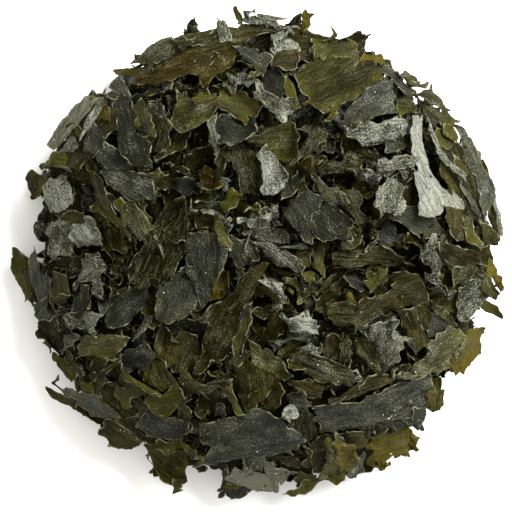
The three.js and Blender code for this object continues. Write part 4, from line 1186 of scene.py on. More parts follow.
    (OLIVE, FLAT, 0.2, 0.2, "2.4,-3 8.2,-3.6 5,-6.6"),
    (SALTED, CRUMPLED, 0.0, 0.5, "-1.2,-4.6 2,-4.6 5,-6.6 6,-10.2 5,-11.8 3,-11.5 2.1,-7.7 -0.2,-6"),
    (OLIVE, CRUMPLED, 0.15, 0.3,
     "5.6,-6 7.9,-4.8 9,-3.6 14.7,-4.6 17.4,-6.8 16.8,-9.5 7.5,-10.9 5.7,-10.2"),
    (SALTED, WAVY, 0.3, 0.6, "-4.6,6.8 0,7.5 2.5,7 2,5.6 -1,5.2"),
    (SALTED, RIBBED, -0.1, 0.4, "-1.9,4.3 1.8,5.2 5,4.2 6,3 5,1.8 0.2,1.8"),
    (SALTED, RIBBED, -0.05, 0.4, "-0.9,2.4 3.4,1.2 7.2,-1 9,-3 8.2,-4.2 3,-2.2 0.8,0"),
    (SALTED, FLAT, 0.4, 0.6, "3.4,0.9 7.9,1.6 10.4,1.6 9,0.8"),
    (SLATE, CURLED, -0.2, 0.1, "5.2,13 7,16.2 9.4,16.4 8.2,13.4 6.6,11 4.2,10"),
    (SLATE, FLAT, -1.0, 0.25, "10.1,7.6 12.6,10.2 14.7,9.7 18.8,6.6 18.6,2.8 15.3,3.2 11.5,1.4 10.7,3.4"),
    (SLATE, FLAT, -0.2, 0.2, "4.3,9.7 8.2,12 10.2,11.8 12.6,10 10.2,7 11.2,3.2 10.2,1.4 8.8,1.8 6.2,5.6"),
    (RIBS, CRUMPLED, 0.4, 0.6, "8,15 9.2,15.7 12.3,13.9 19.6,11.4 19.8,9.4 14.3,9.8 11.8,10.1 9.3,13.4"),
    (SALTED, CRUMPLED, 1.1, 1.1, "1.8,-12.7 5,-12 9.8,-11 10.2,-12.5 13.8,-16 9.4,-15 4,-15"),
    (SLATE, FLAT, 0.1, 0.2, "-3.4,-11 -2.5,-9.5 -1.4,-9.8 -4.1,-15.4 -6.2,-17.4 -4.4,-12.8"),
    (BROWN, EDGED, 0.2, 0.15,
     "-2.4,-9.6 -0.8,-12.4 -2.4,-17.2 -3.7,-22.2 -4.5,-23 -5.9,-22.5 -5.6,-18 -3.6,-12.6"),
    (BROWN, FLAT, -0.25, 0.15,
     "0.4,-1.5 -3.4,-4 -5.7,-7.7 -9.4,-9.7 -12.2,-12.3 -12,-13.2 -10.3,-13.2 -12,-17 -12,-20 "
     "-13.8,-20.8 -13.4,-23.8 -12.4,-24.6 -10.4,-24 -10,-21.6 -5.8,-21.2 -6,-17 -4.3,-13 -2.5,-9.5 "
     "1.6,-1.8"),
    # Rim
    (AMBER, WAVY, 0.6, 0.8, "14,-37.6 18.6,-38 20.6,-39.6 20,-42 17.4,-43.4 14.5,-43"),
    (OLIVE, WAVY, 0.3, 0.2, "26.4,37 28.6,36.4 31,34.6 34.4,31.6 33.4,30.4 30.4,32 27.4,34.4"),
    (OLIVE, FLAT, 0.5, 0.2, "44.6,-4.6 46.4,-4.8 48,-7.4 47,-9.6 45.4,-8.8 44,-7"),
    (BROWN, FLAT, 0.3, 0.2, "-43.2,-26.8 -40,-28 -36,-30 -36.6,-31.8 -40.4,-29.6"),
    (AMBER, FLAT, 0.1, 0.1, "33.2,-27 36.6,-27.4 36.8,-30.4 35,-31.8 33,-31"),
    (SLATE, EDGED, 0.9, 0.8, "-0.8,47.6 2,48 6,46.2 5.6,45.2 1,46.2"),
    (OLIVE, FLAT, 0.4, 0.3, "36.6,25.6 38.4,25.6 40,22.6 39,21.6 36.8,23.6"),
    (AMBER, WAVY, 0.5, 0.3, "29.4,-36 32,-36.4 32.8,-38.4 31.4,-40 29.4,-39.6"),
    (BROWN, FLAT, -0.2, 0.1, "44.2,6.4 46,5.6 47.8,3 47.6,1.2 44.6,1.2"),
    (OLIVE, FLAT, 0.4, 0.2, "-49.8,0.6 -48,1 -46.6,-1.6 -47.4,-3.8 -49.2,-2"),
    (OLIVE, FLAT, 0.5, 0.2, "-5.2,49 -4.2,49 -2.8,46.4 -3.4,45.4 -4.8,46.6"),
    (BROWN, FLAT, 0.1, 0.1, "-17.6,-45.6 -14.8,-45.2 -15,-47.4 -17,-48.2"),
    (SLATE, FLAT, 0.1, 0.2, "30.4,-31 32.8,-30.8 33.2,-33.6 31.6,-34.8 30.2,-33.4"),
    (AMBER, WAVY, 0.6, 0.2, "22.4,-41.2 25.8,-41 26,-43 23.6,-44 22.2,-43"),
    (RIBS, RIBBED, 0.5, 0.4, "-25.4,37.4 -24,38.6 -21.4,41.4 -20.4,40 -23,37.4"),
)


@dataclass
class Heap:
    """The loose flakes, laid one after another.

    Args:
        mound: The heap's general shape.
        rng: Random source.
        core_depth: How far the core lies below the heap's general shape, in mm.
        ring: Start and end of the ring near the rim, as shares of the mound's area.
        ring_share: Share of the compared places that lie in that ring.
        spots: Number of places that are compared for each loose flake.
        trials: Number of ways in which it is tried there.
        firmness: Percentage of a loose flake that may not sink in.
        thicknesses: Least and greatest thickness of a drawn flake, in mm.
        tears: Least and greatest tear of a drawn flake.
        steady_length: Length from which a drawn flake tilts less, in mm.
    """

    mound: Mound
    rng: Random
    core_depth: float = 7.5
    ring: tuple[float, float] = (0.64, 0.95)
    ring_share: float = 0.45
    spots: int = 14
    trials: int = 4
    firmness: float = 85
    thicknesses: tuple[float, float] = (0.2, 0.34)
    tears: tuple[float, float] = (0.03, 0.09)
    steady_length: float = 9
    ground: Ground = field(default_factory=Ground)
    laid: dict[Kind, list[LaidFlake]] = field(default_factory=lambda: {kind: [] for kind in Kind})

    def start(self) -> None:
        """Puts the core's shape under the flakes."""
        x, y = self.ground.places()
        share = np.minimum(1, self.mound.share(x, y) / CORE_REACH)
        dome = (1 - share**self.mound.shoulder) ** self.mound.side
        self.ground.heights = (self.mound.height - self.core_depth) * dome

    def _spread(self, mesh: FlakeMesh, turn: Array) -> tuple[Array, Array]:
        """The turned flake's corners, and points spread over its middle sheet.

        Args:
            mesh: The flake.
            turn: Its rotation.

        Returns:
            (corners, points).
        """
        corners = mesh.points @ turn.T
        middles = corners[mesh.faces].mean(1)
        halfway = (corners[mesh.faces] + corners[np.roll(mesh.faces, 1, axis=1)]).reshape(-1, 3) / 2
        return corners, np.vstack([corners, middles, halfway])

    def _settle(self, kind: Kind, flake: LaidFlake, spread: Array, firmness: float) -> None:
        """Lifts a flake until it rests, and adds it to the heap.

        Args:
            kind: Its kind.
            flake: The flake over its place, not lifted yet.
            spread: Points spread over it.
            firmness: Percentage of it that may not sink in.
        """
        lift = np.array([0, 0, self.ground.rest(spread, firmness)])
        self.ground.cover(spread + lift)
        flake.points = flake.points + lift
        self.laid[kind].append(flake)

    def _lowest_spot(self, below: float) -> tuple[float, float, float] | None:
        """Finds where the heap is still lowest against its shape, of a few places.

        Args:
            below: How far below that shape the filling stops, in mm.

        Returns:
            (x, y, height wanted there), or None where the heap is high enough.
        """
        rng, mound = self.rng, self.mound
        outer = rng.random(self.spots) < self.ring_share
        in_ring, anywhere = rng.uniform(*self.ring, self.spots), rng.uniform(0, self.ring[1], self.spots)
        reach = np.sqrt(np.where(outer, in_ring, anywhere))
        angle = rng.uniform(0, 2 * math.pi, self.spots)
        xs = mound.centre[0] + mound.radius * reach * np.cos(angle)
        ys = mound.centre[1] + mound.radius * reach * np.sin(angle)
        wanted = np.maximum(mound.surface(xs, ys) * (1 - below / mound.height), 1.6)
        there = self.ground.heights[self.ground.cells(np.column_stack([xs, ys]))]
        best = int(np.argmax(wanted - there))
        if wanted[best] < there[best]:
            return None
        return float(xs[best]), float(ys[best]), float(wanted[best])

    def _best_way(
        self, mesh: FlakeMesh, spot: tuple[float, float, float], tilt: float, steepest: float
    ) -> tuple[Array, Array]:
        """Turns a flake in a few ways and keeps the one that comes nearest to the wanted height.

        Args:
            mesh: The flake.
            spot: (x, y, height wanted there).
            tilt: Typical tilt against the slope, in degrees.
            steepest: Greatest slope, in degrees.

        Returns:
            Its corners and the points spread over it, before it is lifted.
        """
        x, y, goal = spot
        normal = self.mound.resting_normal(x, y, steepest)
        trials = []
        for _trial in range(self.trials):
            turn = turning(normal, self.rng.uniform(0, 360), *self.rng.normal(0, tilt, 2))
            corners, spread = self._spread(mesh, turn)
            shift = np.array([x, y, 0.0])
            corners, spread = corners + shift, spread + shift
            lift = self.ground.rest(spread, self.firmness)
            excess = float(np.percentile(spread[:, 2], 90)) + lift - goal
            trials.append((abs(excess) + 3 * max(0.0, excess - 1.5), corners, spread))
        _score, corners, spread = min(trials, key=lambda trial: trial[0])
        return corners, spread

    def fill(
        self,
        recipes: tuple[Recipe, ...],
        count: int,
        spacing: float,
        below: float,
        tilt: float,
        steepest: float,
        tone: float,
    ) -> None:
        """Scatters loose flakes, each where the heap is still lowest of a few places.

        Args:
            recipes: What to draw the flakes from.
            count: Number of flakes.
            spacing: Spacing of the meshes, in mm.
            below: How far below the heap's shape the filling stops, in mm.
            tilt: Typical tilt against the slope, in degrees.
            steepest: Greatest slope, in degrees.
            tone: How much lighter than usual they are; below nought it is painted shade, darkening the
                flakes that fill the gaps under the top ones.
        """
        rng = self.rng
        weights = np.array([recipe.weight for recipe in recipes], float)
        weights /= weights.sum()
        for _index in range(count):
            spot = self._lowest_spot(below)
            if spot is None:
                continue
            recipe = recipes[rng.choice(len(recipes), p=weights)]
            mesh = recipe.draw(rng, spacing).build()
            corners, spread = self._best_way(mesh, spot, tilt, steepest)
            # The filling's tone darkens the flakes that lie deep in the gaps: painted shade.
            lightness = tone + recipe.tone + rng.normal(0, 0.28)
            flake = LaidFlake(mesh, corners, lightness, recipe.salt * rng.uniform(0.5, 1.4))
            self._settle(recipe.kind, flake, spread, self.firmness)

    def lay_drawn(self, spacing: float, steepest: float, tilt: float, firmness: float) -> None:
        """Lays the flakes that lie on top, so that each shows its drawn outline from above.

        Args:
            spacing: Spacing of the meshes, in mm.
            steepest: Greatest slope, in degrees.
            tilt: Typical tilt against the slope, in degrees.
            firmness: Percentage of a flake that may not sink in.
        """
        rng = self.rng
        least, greatest = zip(self.thicknesses, self.tears)
        for drawn in (DrawnFlake(*row) for row in DRAWN_FLAKES):
            plan = drawn.plan(self.mound.centre)
            middle = (plan.min(0) + plan.max(0)) / 2
            along = np.linalg.svd(plan - plan.mean(0))[2][0]
            heading = math.degrees(math.atan2(along[1], along[0]))
            normal = self.mound.resting_normal(*middle, steepest)
            unsteady = min(1.0, self.steady_length / float(np.ptp(plan, axis=0).max()))
            turn = turning(normal, heading, *rng.normal(0, tilt * unsteady, 2))
            level = plan - middle
            lifted = np.column_stack([level, -(level @ turn[:2, 2]) / turn[2, 2]]) @ turn
            centre = (lifted.min(0) + lifted.max(0)) / 2
            thickness, tear = rng.uniform(least, greatest).tolist()
            outline = (lifted - centre)[:, :2]
            form = FlakeForm(rng, outline, drawn.temper, thickness, spacing, tear, sway=0.05, fray=0.14)
            mesh = form.build()
            corners, spread = self._spread(mesh, turn)
            shift = np.array([*middle, 0.0]) + turn @ centre
            flake = LaidFlake(mesh, corners + shift, drawn.tone, drawn.salt)
            self._settle(drawn.kind, flake, spread + shift, firmness)

    def slump(self) -> None:
        """Lets what stands too high over the sides slide down."""
        for flakes in self.laid.values():
            for flake in flakes:
                flake.points[:, 2] = self.mound.slumped(*flake.points.T)
        self.ground.heights = self.mound.slumped(*self.ground.places(), self.ground.heights)


# ---- meshes


def mesh_object(name: str, points: Array, faces: Array) -> bpy.types.Object:
    """Makes a smooth-shaded object of triangles.

    Args:
        name: The piece's name.
        points: Corners, in metres.
        faces: Three corner numbers a triangle.

    Returns:
        The new object, at the origin.
    """
    mesh = bpy.data.meshes.new(name)
    mesh.vertices.add(len(points))
    mesh.vertices.foreach_set("co", points.astype(np.float32).ravel())
    mesh.loops.add(3 * len(faces))
    mesh.loops.foreach_set("vertex_index", faces.astype(np.int32).ravel())
    mesh.polygons.add(len(faces))
    mesh.polygons.foreach_set("loop_start", np.arange(0, 3 * len(faces), 3, dtype=np.int32))
    mesh.polygons.foreach_set("use_smooth", np.ones(len(faces), dtype=bool))
    mesh.update()
    mesh.validate()
    made = bpy.data.objects.new(name, mesh)
    bpy.context.scene.collection.objects.link(made)
    return made


@dataclass(frozen=True)
class FlakePiece:
    """All flakes of one kind, as one piece.

    Args:
        name: The piece's name.
        flakes: Its flakes, on the heap.
        margin: Room between two flakes on the map that the finish is baked to, in mm.
        cover: Depth under the heap's top down to which a corner counts as open to the sky, in mm.
        pattern_reach: Side of the stretch of pattern that the flakes are spread over, in mm.
    """

    name: str
    flakes: list[LaidFlake]
    margin: float = 0.8
    cover: float = 0.7
    pattern_reach: float = 400

    def build(self, ground: Ground, rng: Random) -> bpy.types.Object:
        """Joins the flakes into one object, with its maps and attributes.

        Args:
            ground: The finished heap.
            rng: Source of each flake's place in the patterns.

        Returns:
            The new object.
        """
        meshes = [flake.mesh for flake in self.flakes]
        counts = [len(mesh.points) for mesh in meshes]
        starts = np.cumsum([0] + counts[:-1])
        points = np.vstack([flake.points for flake in self.flakes])
        faces = np.vstack([mesh.faces + start for mesh, start in zip(meshes, starts)])
        made = mesh_object(self.name, points * MM, faces)
        shifts = [rng.uniform(0, self.pattern_reach, 2) for _mesh in meshes]
        pattern = [(mesh.flat[mesh.faces] + shift).reshape(-1, 2) for mesh, shift in zip(meshes, shifts)]
        for map_name, places in ((FLAKE_MAP, pattern), (BAKE_MAP, self._side_by_side())):
            layer = made.data.uv_layers.new(name=map_name)
            layer.uv.foreach_set("vector", np.vstack(places).astype(np.float32).ravel())
        values = {
            "inset": np.concatenate([mesh.inset for mesh in meshes]),
            "tone": np.repeat([float(flake.tone) for flake in self.flakes], counts),
            "salt": np.repeat([float(flake.salt) for flake in self.flakes], counts),
            "open_sky": points[:, 2] > ground.heights[ground.cells(points)] - self.cover,
        }
        for attribute, numbers in values.items():
            layer = made.data.attributes.new(attribute, "FLOAT", "POINT")
            layer.data.foreach_set("value", numbers.astype(np.float32))
        return made

    def _side_by_side(self) -> list[Array]:
        """Lays both sides of every flake out in the unit square, on shelves, the highest first.

        Returns:
            For each flake, the map place of every corner of every triangle.
        """
        islands = []
        for number, flake in enumerate(self.flakes):
            low = flake.mesh.flat.min(0) - self.margin / 2
            size = np.ptp(flake.mesh.flat, axis=0) + self.margin
            islands += [(size[1], size[0], number, side, low) for side in (0, 1)]
        islands.sort(key=lambda island: -island[0])
        width = math.sqrt(sum(high * wide for high, wide, *_rest in islands)) * 1.06
        spots, x, y, shelf = {}, 0.0, 0.0, 0.0
        for high, wide, number, side, low in islands:
            if x + wide > width:
                x, y, shelf = 0.0, y + shelf, 0.0
            spots[number, side] = np.array([x, y]) - low
            x, shelf = x + wide, max(shelf, high)
        extent = max(width, y + shelf)
        placed = []
        for number, flake in enumerate(self.flakes):
            mesh = flake.mesh
            shift = np.where(mesh.under[:, None] > 0, spots[number, 1], spots[number, 0])
            placed.append(((mesh.flat[mesh.faces] + shift[:, None, :]) / extent).reshape(-1, 2))
        return placed


# ---- nodes


@dataclass
class Wiring:
    """Adds nodes to a tree and joins them, so that a finish or a rule reads from top to bottom.

    Args:
        tree: The tree.
    """

    tree: bpy.types.NodeTree

    def node(self, kind: str, inputs: dict | None = None, **settings: object) -> bpy.types.Node:
        """Adds a node.

        Args:
            kind: Blender's name for the node type.
            inputs: Socket name or number, and the value or the output to join to it.
            settings: The node's own settings.

        Returns:
            The new node.
        """
        made = self.tree.nodes.new(kind)
        for name, value in settings.items():
            setattr(made, name, value)
        for socket, value in (inputs or {}).items():
            if isinstance(value, Socket):
                self.tree.links.new(value, made.inputs[socket])
            else:
                made.inputs[socket].default_value = value
        return made

    def math(self, operation: str, *values: object) -> Socket:
        """The result of a sum."""
        return self.node("ShaderNodeMath", dict(enumerate(values)), operation=operation).outputs[0]

    def over(self, value: Socket, middle: float) -> Socket:
        """How far a value lies over a middle."""
        return self.math("SUBTRACT", value, middle)

    def heaped(self, start: object, *parts: tuple[Socket, float]) -> Socket:
        """A start value, with each part added to it at its strength."""
        for part, strength in parts:
            start = self.math("MULTIPLY_ADD", part, strength, start)
        return start

    def ramp(self, value: Socket, low: float, high: float, start: float = 0.0, end: float = 1.0) -> Socket:
        """A soft step from start to end, as value goes from low to high."""
        inputs = {"Value": value, "From Min": low, "From Max": high, "To Min": start, "To Max": end}
        return self.node("ShaderNodeMapRange", inputs, interpolation_type="SMOOTHSTEP").outputs[0]

    def mix(self, share: object, first: object, second: object) -> Socket:
        """A blend of two colours, each an output or a colour."""
        ends = [(*end, 1.0) if isinstance(end, tuple) else end for end in (first, second)]
        return self.node("ShaderNodeMix", {0: share, 6: ends[0], 7: ends[1]}, data_type="RGBA").outputs[2]

    def noise(self, place: Socket, scale: float, detail: float = 2.0) -> Socket:
        """Smooth noise between 0 and 1."""
        inputs = {"Vector": place, "Scale": scale, "Detail": detail}
        return self.node("ShaderNodeTexNoise", inputs).outputs[0]

    def attribute(self, name: str) -> Socket:
        """A number that the mesh carries, in a material."""
        return self.node("ShaderNodeAttribute", attribute_name=name).outputs["Fac"]

    def named(self, name: str) -> Socket:
        """A number that the mesh carries, in a rule."""
        return self.node("GeometryNodeInputNamedAttribute", {"Name": name}, data_type="FLOAT").outputs[0]


def start_material(name: str) -> tuple[bpy.types.Material, Wiring, bpy.types.Node]:
    """Starts a material.

    Args:
        name: Its name.

    Returns:
        (the material, the wiring of its nodes, its shader).
    """
    material = bpy.data.materials.new(name)
    material.use_nodes = True
    return material, Wiring(material.node_tree), material.node_tree.nodes["Principled BSDF"]


# ---- finishes


class Slot(Enum):
    """The finishes that the heap's record names."""

    DRIED = "dried_kelp"
    OLIVE = "olive_kelp"
    SLATE = "slate_kelp"
    SALTED = "salted_kelp"
    AMBER = "amber_kelp"
    SALT = "sea_salt"


@dataclass(frozen=True)
class KelpFinish:
    """The look of one kind of dried kelp.

    Args:
        name: The material's name.
        slot: The record's finish that it stands for.
        dark: Colour of its darkest parts.
        light: Colour of its lightest parts.
        rim: Colour of the torn edge: partly its own paler colour, partly painted highlight where the edge
            catches the light.
        thin: Colour where the sheet thins out towards the edge: partly its own paler colour, partly painted
            light shining through the thin sheet.
        thinness: How much of the flake has thinned out.
        salt: Colour of the dusting of salt.
        dusting: How far the dusting covers a flake with average salt.
        streaks: Strength of the lengthwise streaks, which are partly fibre tone and partly painted light on
            the raised ribs and painted shade in their grooves.
        creases: Strength of the net of fine creases.
        roughness: Roughness where it is bare.
        shine: Strength of its reflections.
        grain: Strength of the fine relief.
        glow: Share of light that passes through the thin sheet.
    """

    name: str
    slot: Slot
    dark: Colour
    light: Colour
    rim: Colour = (0.130, 0.128, 0.078)
    thin: Colour = (0.036, 0.032, 0.003)
    thinness: float = 0.35
    salt: Colour = (0.105, 0.108, 0.075)
    dusting: float = 1.0
    streaks: float = 0.4
    creases: float = 0.3
    roughness: float = 0.55
    shine: float = 0.02
    grain: float = 0.7
    glow: float = 0.0

    def build(self) -> bpy.types.Material:
        """Makes the material.

        Returns:
            The material, which reads the flake's own map, in millimetres, and its attributes.
        """
        material, wires, shader = start_material(self.name)
        place = wires.node("ShaderNodeUVMap", uv_map=FLAKE_MAP).outputs[0]
        stretched = wires.node("ShaderNodeMapping", {"Vector": place, "Scale": (0.17, 1, 1)}).outputs[0]
        tone, salt, inset = (wires.attribute(name) for name in ("tone", "salt", "inset"))

        patch = wires.noise(place, 0.13, 1)
        blotch = wires.noise(place, 0.26, 3)
        streak = wires.noise(stretched, 1.25, 4)
        grain = wires.noise(place, 2.2, 3)
        speck = wires.noise(place, 3.0, 5)
        cells = {"Vector": place, "Scale": 0.75, "Detail": 1.0, "Randomness": 1.0}
        cell = wires.node("ShaderNodeTexVoronoi", cells, feature="DISTANCE_TO_EDGE").outputs["Distance"]
        crease = wires.ramp(wires.heaped(cell, (grain, 0.25)), 0.1, 0.42, 1.0, 0.0)
        # The ridge lines are raised in the relief and lighter in the colour: painted highlight along the
        # ridges.
        fold = wires.math("ABSOLUTE", wires.over(wires.noise(stretched, 0.9, 5), 0.5))
        ridge = wires.ramp(fold, 0.0, 0.08, 1.0, 0.0)

        # The body's lightness: streaks and ridge lines come out lighter where the relief is raised, partly
        # fibre tone and partly painted light and shade of the ribs.
        body = wires.heaped(
            0.38,
            (wires.over(streak, 0.5), 5.0 * self.streaks),
            (wires.over(blotch, 0.5), 1.3),
            (wires.over(grain, 0.5), 1.1),
            (crease, 0.5 * self.creases),
            (wires.over(ridge, 0.3), 1.9 * self.streaks),
            # The flake's tone, which carries painted light and shade as well as its own lightness.
            (wires.over(speck, 0.5), 2.7),
            (tone, 0.8),
        )
        colour = wires.mix(body, self.dark, self.light)

        # Paler, yellower near the edge and in patches where the sheet thins: partly its own colour, partly
        # painted light shining through; less of it on darker flakes.
        thinned = wires.ramp(wires.heaped(inset, (blotch, -3.0)), -1.4, 0.8, 1.0, 0.3)
        patches = wires.ramp(patch, 0.5 - 0.2 * self.thinness, 0.6, 0.0, self.thinness)
        thinned = wires.math("MULTIPLY", thinned, patches)
        thinned = wires.math("MULTIPLY", thinned, wires.ramp(tone, -1.0, 0.3))
        colour = wires.mix(thinned, colour, self.thin)

        dust = wires.heaped(
            wires.math("MULTIPLY", streak, 0.5),
            (blotch, 0.8),
            (crease, 0.12 * self.creases),
            (salt, 0.45 * self.dusting),
            (speck, 1.3),
        )
        cover = wires.ramp(dust, 1.48, 1.93, 0.0, 0.9)
        colour = wires.mix(cover, colour, self.salt)

        # Pale line along parts of the torn edge: partly the edge's own paler colour, partly painted
        # highlight on the edge.
        line = wires.ramp(wires.noise(place, 0.5, 3), 0.45, 0.62)
        line = wires.math("MULTIPLY", wires.ramp(inset, 0.0, 0.13, 1.0, 0.0), line)
        colour = wires.mix(line, colour, self.rim)

        relief = wires.heaped(
            wires.math("MULTIPLY", streak, 2.2 * self.streaks),
            (grain, 0.45),
            (crease, 0.3 * self.creases),
            (ridge, 1.6 * self.streaks),
        )
        bump = wires.node("ShaderNodeBump", {"Strength": self.grain, "Distance": 0.0009, "Height": relief})
        rough = wires.ramp(grain, 0.2, 0.8, self.roughness - 0.08, self.roughness + 0.1)
        rough = wires.math("MINIMUM", wires.heaped(rough, (cover, 0.3)), 1.0)
        shader.inputs["Specular IOR Level"].default_value = self.shine

        links = material.node_tree.links
        links.new(colour, shader.inputs["Base Color"])
        links.new(rough, shader.inputs["Roughness"])
        links.new(bump.outputs[0], shader.inputs["Normal"])
        if self.glow:
            through = wires.node("ShaderNodeBsdfTranslucent", {"Color": colour})
            share = wires.math("MULTIPLY", thinned, self.glow)
            both = wires.node("ShaderNodeMixShader", {0: share, 1: shader.outputs[0], 2: through.outputs[0]})
            links.new(both.outputs[0], material.node_tree.nodes["Material Output"].inputs["Surface"])
        return material


FINISHES: dict[Kind, KelpFinish] = {
    OLIVE: KelpFinish(
        "olive_flake", Slot.OLIVE, (0.0052, 0.0045, 0.0002), (0.0265, 0.0243, 0.0100),
        thin=(0.040, 0.0355, 0.0012), thinness=0.65, streaks=0.3,
    ),
    BROWN: KelpFinish(
        "brown_flake", Slot.OLIVE, (0.0054, 0.0040, 0.0002), (0.0250, 0.0213, 0.0095),
        thin=(0.038, 0.0300, 0.0014), thinness=0.35, streaks=0.3,
    ),
    # The slate kinds are greyer and bluer than the others: partly their own colour, partly painted sheen of
    # the lamp and surround reflected in them.
    SLATE: KelpFinish(
        "slate_flake", Slot.SLATE, (0.0036, 0.0039, 0.0012), (0.0225, 0.0244, 0.0175),
        thinness=0.2, streaks=0.12, creases=0.25, shine=0.05,
    ),
    STRAPS: KelpFinish(
        "slate_strap", Slot.SLATE, (0.0036, 0.0039, 0.0010), (0.0270, 0.0290, 0.0200),
        thinness=0.3, streaks=0.25, shine=0.05,
    ),
    SALTED: KelpFinish(
        "salted_flake", Slot.SALTED, (0.0070, 0.0072, 0.0020), (0.045, 0.047, 0.0300),
        rim=(0.16, 0.16, 0.11), thinness=0.2, salt=(0.170, 0.175, 0.140),
        streaks=0.25, creases=1.0, grain=1.0,
    ),
    RIBS: KelpFinish(
        "ribbed_strip", Slot.SALTED, (0.0050, 0.0046, 0.0003), (0.0340, 0.0325, 0.0160),
        thinness=0.4, streaks=0.5, creases=0.4, grain=1.0,
    ),
    AMBER: KelpFinish(
        "amber_frond", Slot.AMBER, (0.0075, 0.0046, 0.0001), (0.046, 0.040, 0.0110),
        rim=(0.080, 0.071, 0.018), thin=(0.080, 0.061, 0.006), thinness=0.85,
        streaks=0.3, dusting=0.5, glow=0.4,
    ),
    SHREDS: KelpFinish(
        "dark_shred", Slot.OLIVE, (0.0052, 0.0044, 0.0002), (0.0290, 0.0265, 0.0080), thinness=0.6,
    ),
}


@dataclass(frozen=True)
class MottledFinish:
    """A finish mottled in two colours, on the piece's own coordinates.

    Args:
        name: The material's name.
        dark: Its darkest colour.
        light: Its lightest colour.
        scale: Patches on a metre.
        detail: Finer detail in the patches.
        roughness: Roughness at the two ends.
        shine: Strength of its reflections.
        span: Values between which the patches go from dark to light.
        rough_span: The same for the roughness, or nothing where it follows the colour.
        swells: Strength of broader patches.
        relief: Strength of its relief.
    """

    name: str
    dark: Colour
    light: Colour
    scale: float
    detail: float
    roughness: tuple[float, float]
    shine: float
    span: tuple[float, float] | None = (0.3, 0.7)
    rough_span: tuple[float, float] | None = None
    swells: float = 0.0
    relief: float = 0.0

    def build(self) -> bpy.types.Material:
        """Makes the material.

        Returns:
            The material.
        """
        material, wires, shader = start_material(self.name)
        place = wires.node("ShaderNodeTexCoord").outputs["Object"]
        patches = wires.noise(place, self.scale, self.detail)
        mottle = wires.heaped(patches, (wires.noise(place, 90, 2), self.swells))
        if self.span:
            mottle = wires.ramp(mottle, *self.span)
        links = material.node_tree.links
        links.new(wires.mix(mottle, self.dark, self.light), shader.inputs["Base Color"])
        followed, ends = (patches, self.rough_span) if self.rough_span else (mottle, (0.0, 1.0))
        links.new(wires.ramp(followed, *ends, *self.roughness), shader.inputs["Roughness"])
        if self.relief:
            height = {"Strength": self.relief, "Distance": 0.001, "Height": patches}
            links.new(wires.node("ShaderNodeBump", height).outputs[0], shader.inputs["Normal"])
        shader.inputs["Specular IOR Level"].default_value = self.shine
        return material


CORE_FINISH = MottledFinish(
    "kelp_core", (0.0085, 0.0072, 0.0006), (0.024, 0.0205, 0.0035), 420, 4, (0.6, 0.85), 0.01,
    span=(0.55, 1.0), rough_span=(0.3, 0.7), swells=0.5, relief=0.7,
)
CRUMB_FINISH = MottledFinish(
    "kelp_crumb", (0.006, 0.005, 0.001), (0.036, 0.032, 0.012), 900, 3, (0.64, 0.76), 0.1
)
SALT_FINISH = MottledFinish("salt_grain", (0.42, 0.42, 0.36), (0.78, 0.78, 0.72), 900, 3, (0.39, 0.51), 0.1)
FLOOR_FINISH = MottledFinish(
    "pale_floor", (0.93, 0.93, 0.925), (0.92, 0.925, 0.925), 40, 2, (0.8, 0.8), 0.2, span=None
)


# ---- pieces made by rule


SOCKET_TYPES = {
    float: "NodeSocketFloat",
    int: "NodeSocketInt",
    tuple: "NodeSocketVector",
    bpy.types.Material: "NodeSocketMaterial",
    bpy.types.Collection: "NodeSocketCollection",
}


@dataclass
class Rule:
    """A Geometry Nodes tree with named inputs, which is run once and leaves a plain mesh.

    Args:
        name: Name of the tree and of the piece.
    """

    name: str
    tree: bpy.types.NodeTree = field(init=False)
    wires: Wiring = field(init=False)
    entry: bpy.types.Node = field(init=False)
    values: dict[str, object] = field(default_factory=dict)

    def __post_init__(self) -> None:
        """Starts the tree with its output."""
        self.tree = bpy.data.node_groups.new(self.name, "GeometryNodeTree")
        self.wires = Wiring(self.tree)
        self.tree.interface.new_socket("Geometry", in_out="OUTPUT", socket_type="NodeSocketGeometry")
        self.entry = self.wires.node("NodeGroupInput")

    def take(self, **inputs: object) -> list[Socket]:
        """Adds named inputs.

        Args:
            inputs: The inputs' names, and what they are set to on the modifier.

        Returns:
            The outputs of the tree's input node.
        """
        for name, value in inputs.items():
            kind = next(socket for taken, socket in SOCKET_TYPES.items() if isinstance(value, taken))
            socket = self.tree.interface.new_socket(name, in_out="INPUT", socket_type=kind)
            self.values[socket.identifier] = value
        return [self.entry.outputs[name] for name in inputs]

    def run(self, shape: Socket, material: Socket) -> bpy.types.Object:
        """Closes the tree, runs it and makes its result a plain object.

        Args:
            shape: The geometry to end with.
            material: The material input.

        Returns:
            The new object, with no modifier left.
        """
        real = self.wires.node("GeometryNodeRealizeInstances", {0: shape}).outputs[0]
        dressed = self.wires.node("GeometryNodeSetMaterial", {"Geometry": real, "Material": material})
        self.wires.node("NodeGroupOutput", {0: dressed.outputs[0]})
        host = bpy.data.objects.new(self.name, bpy.data.meshes.new(self.name))
        bpy.context.scene.collection.objects.link(host)
        modifier = host.modifiers.new(self.name, "NODES")
        modifier.node_group = self.tree
        for identifier, value in self.values.items():
            modifier[identifier] = value
        seen = host.evaluated_get(bpy.context.evaluated_depsgraph_get())
        plain = bpy.data.meshes.new_from_object(seen)
        host.modifiers.remove(modifier)
        host.data = plain
        plain.name = self.name
        return host


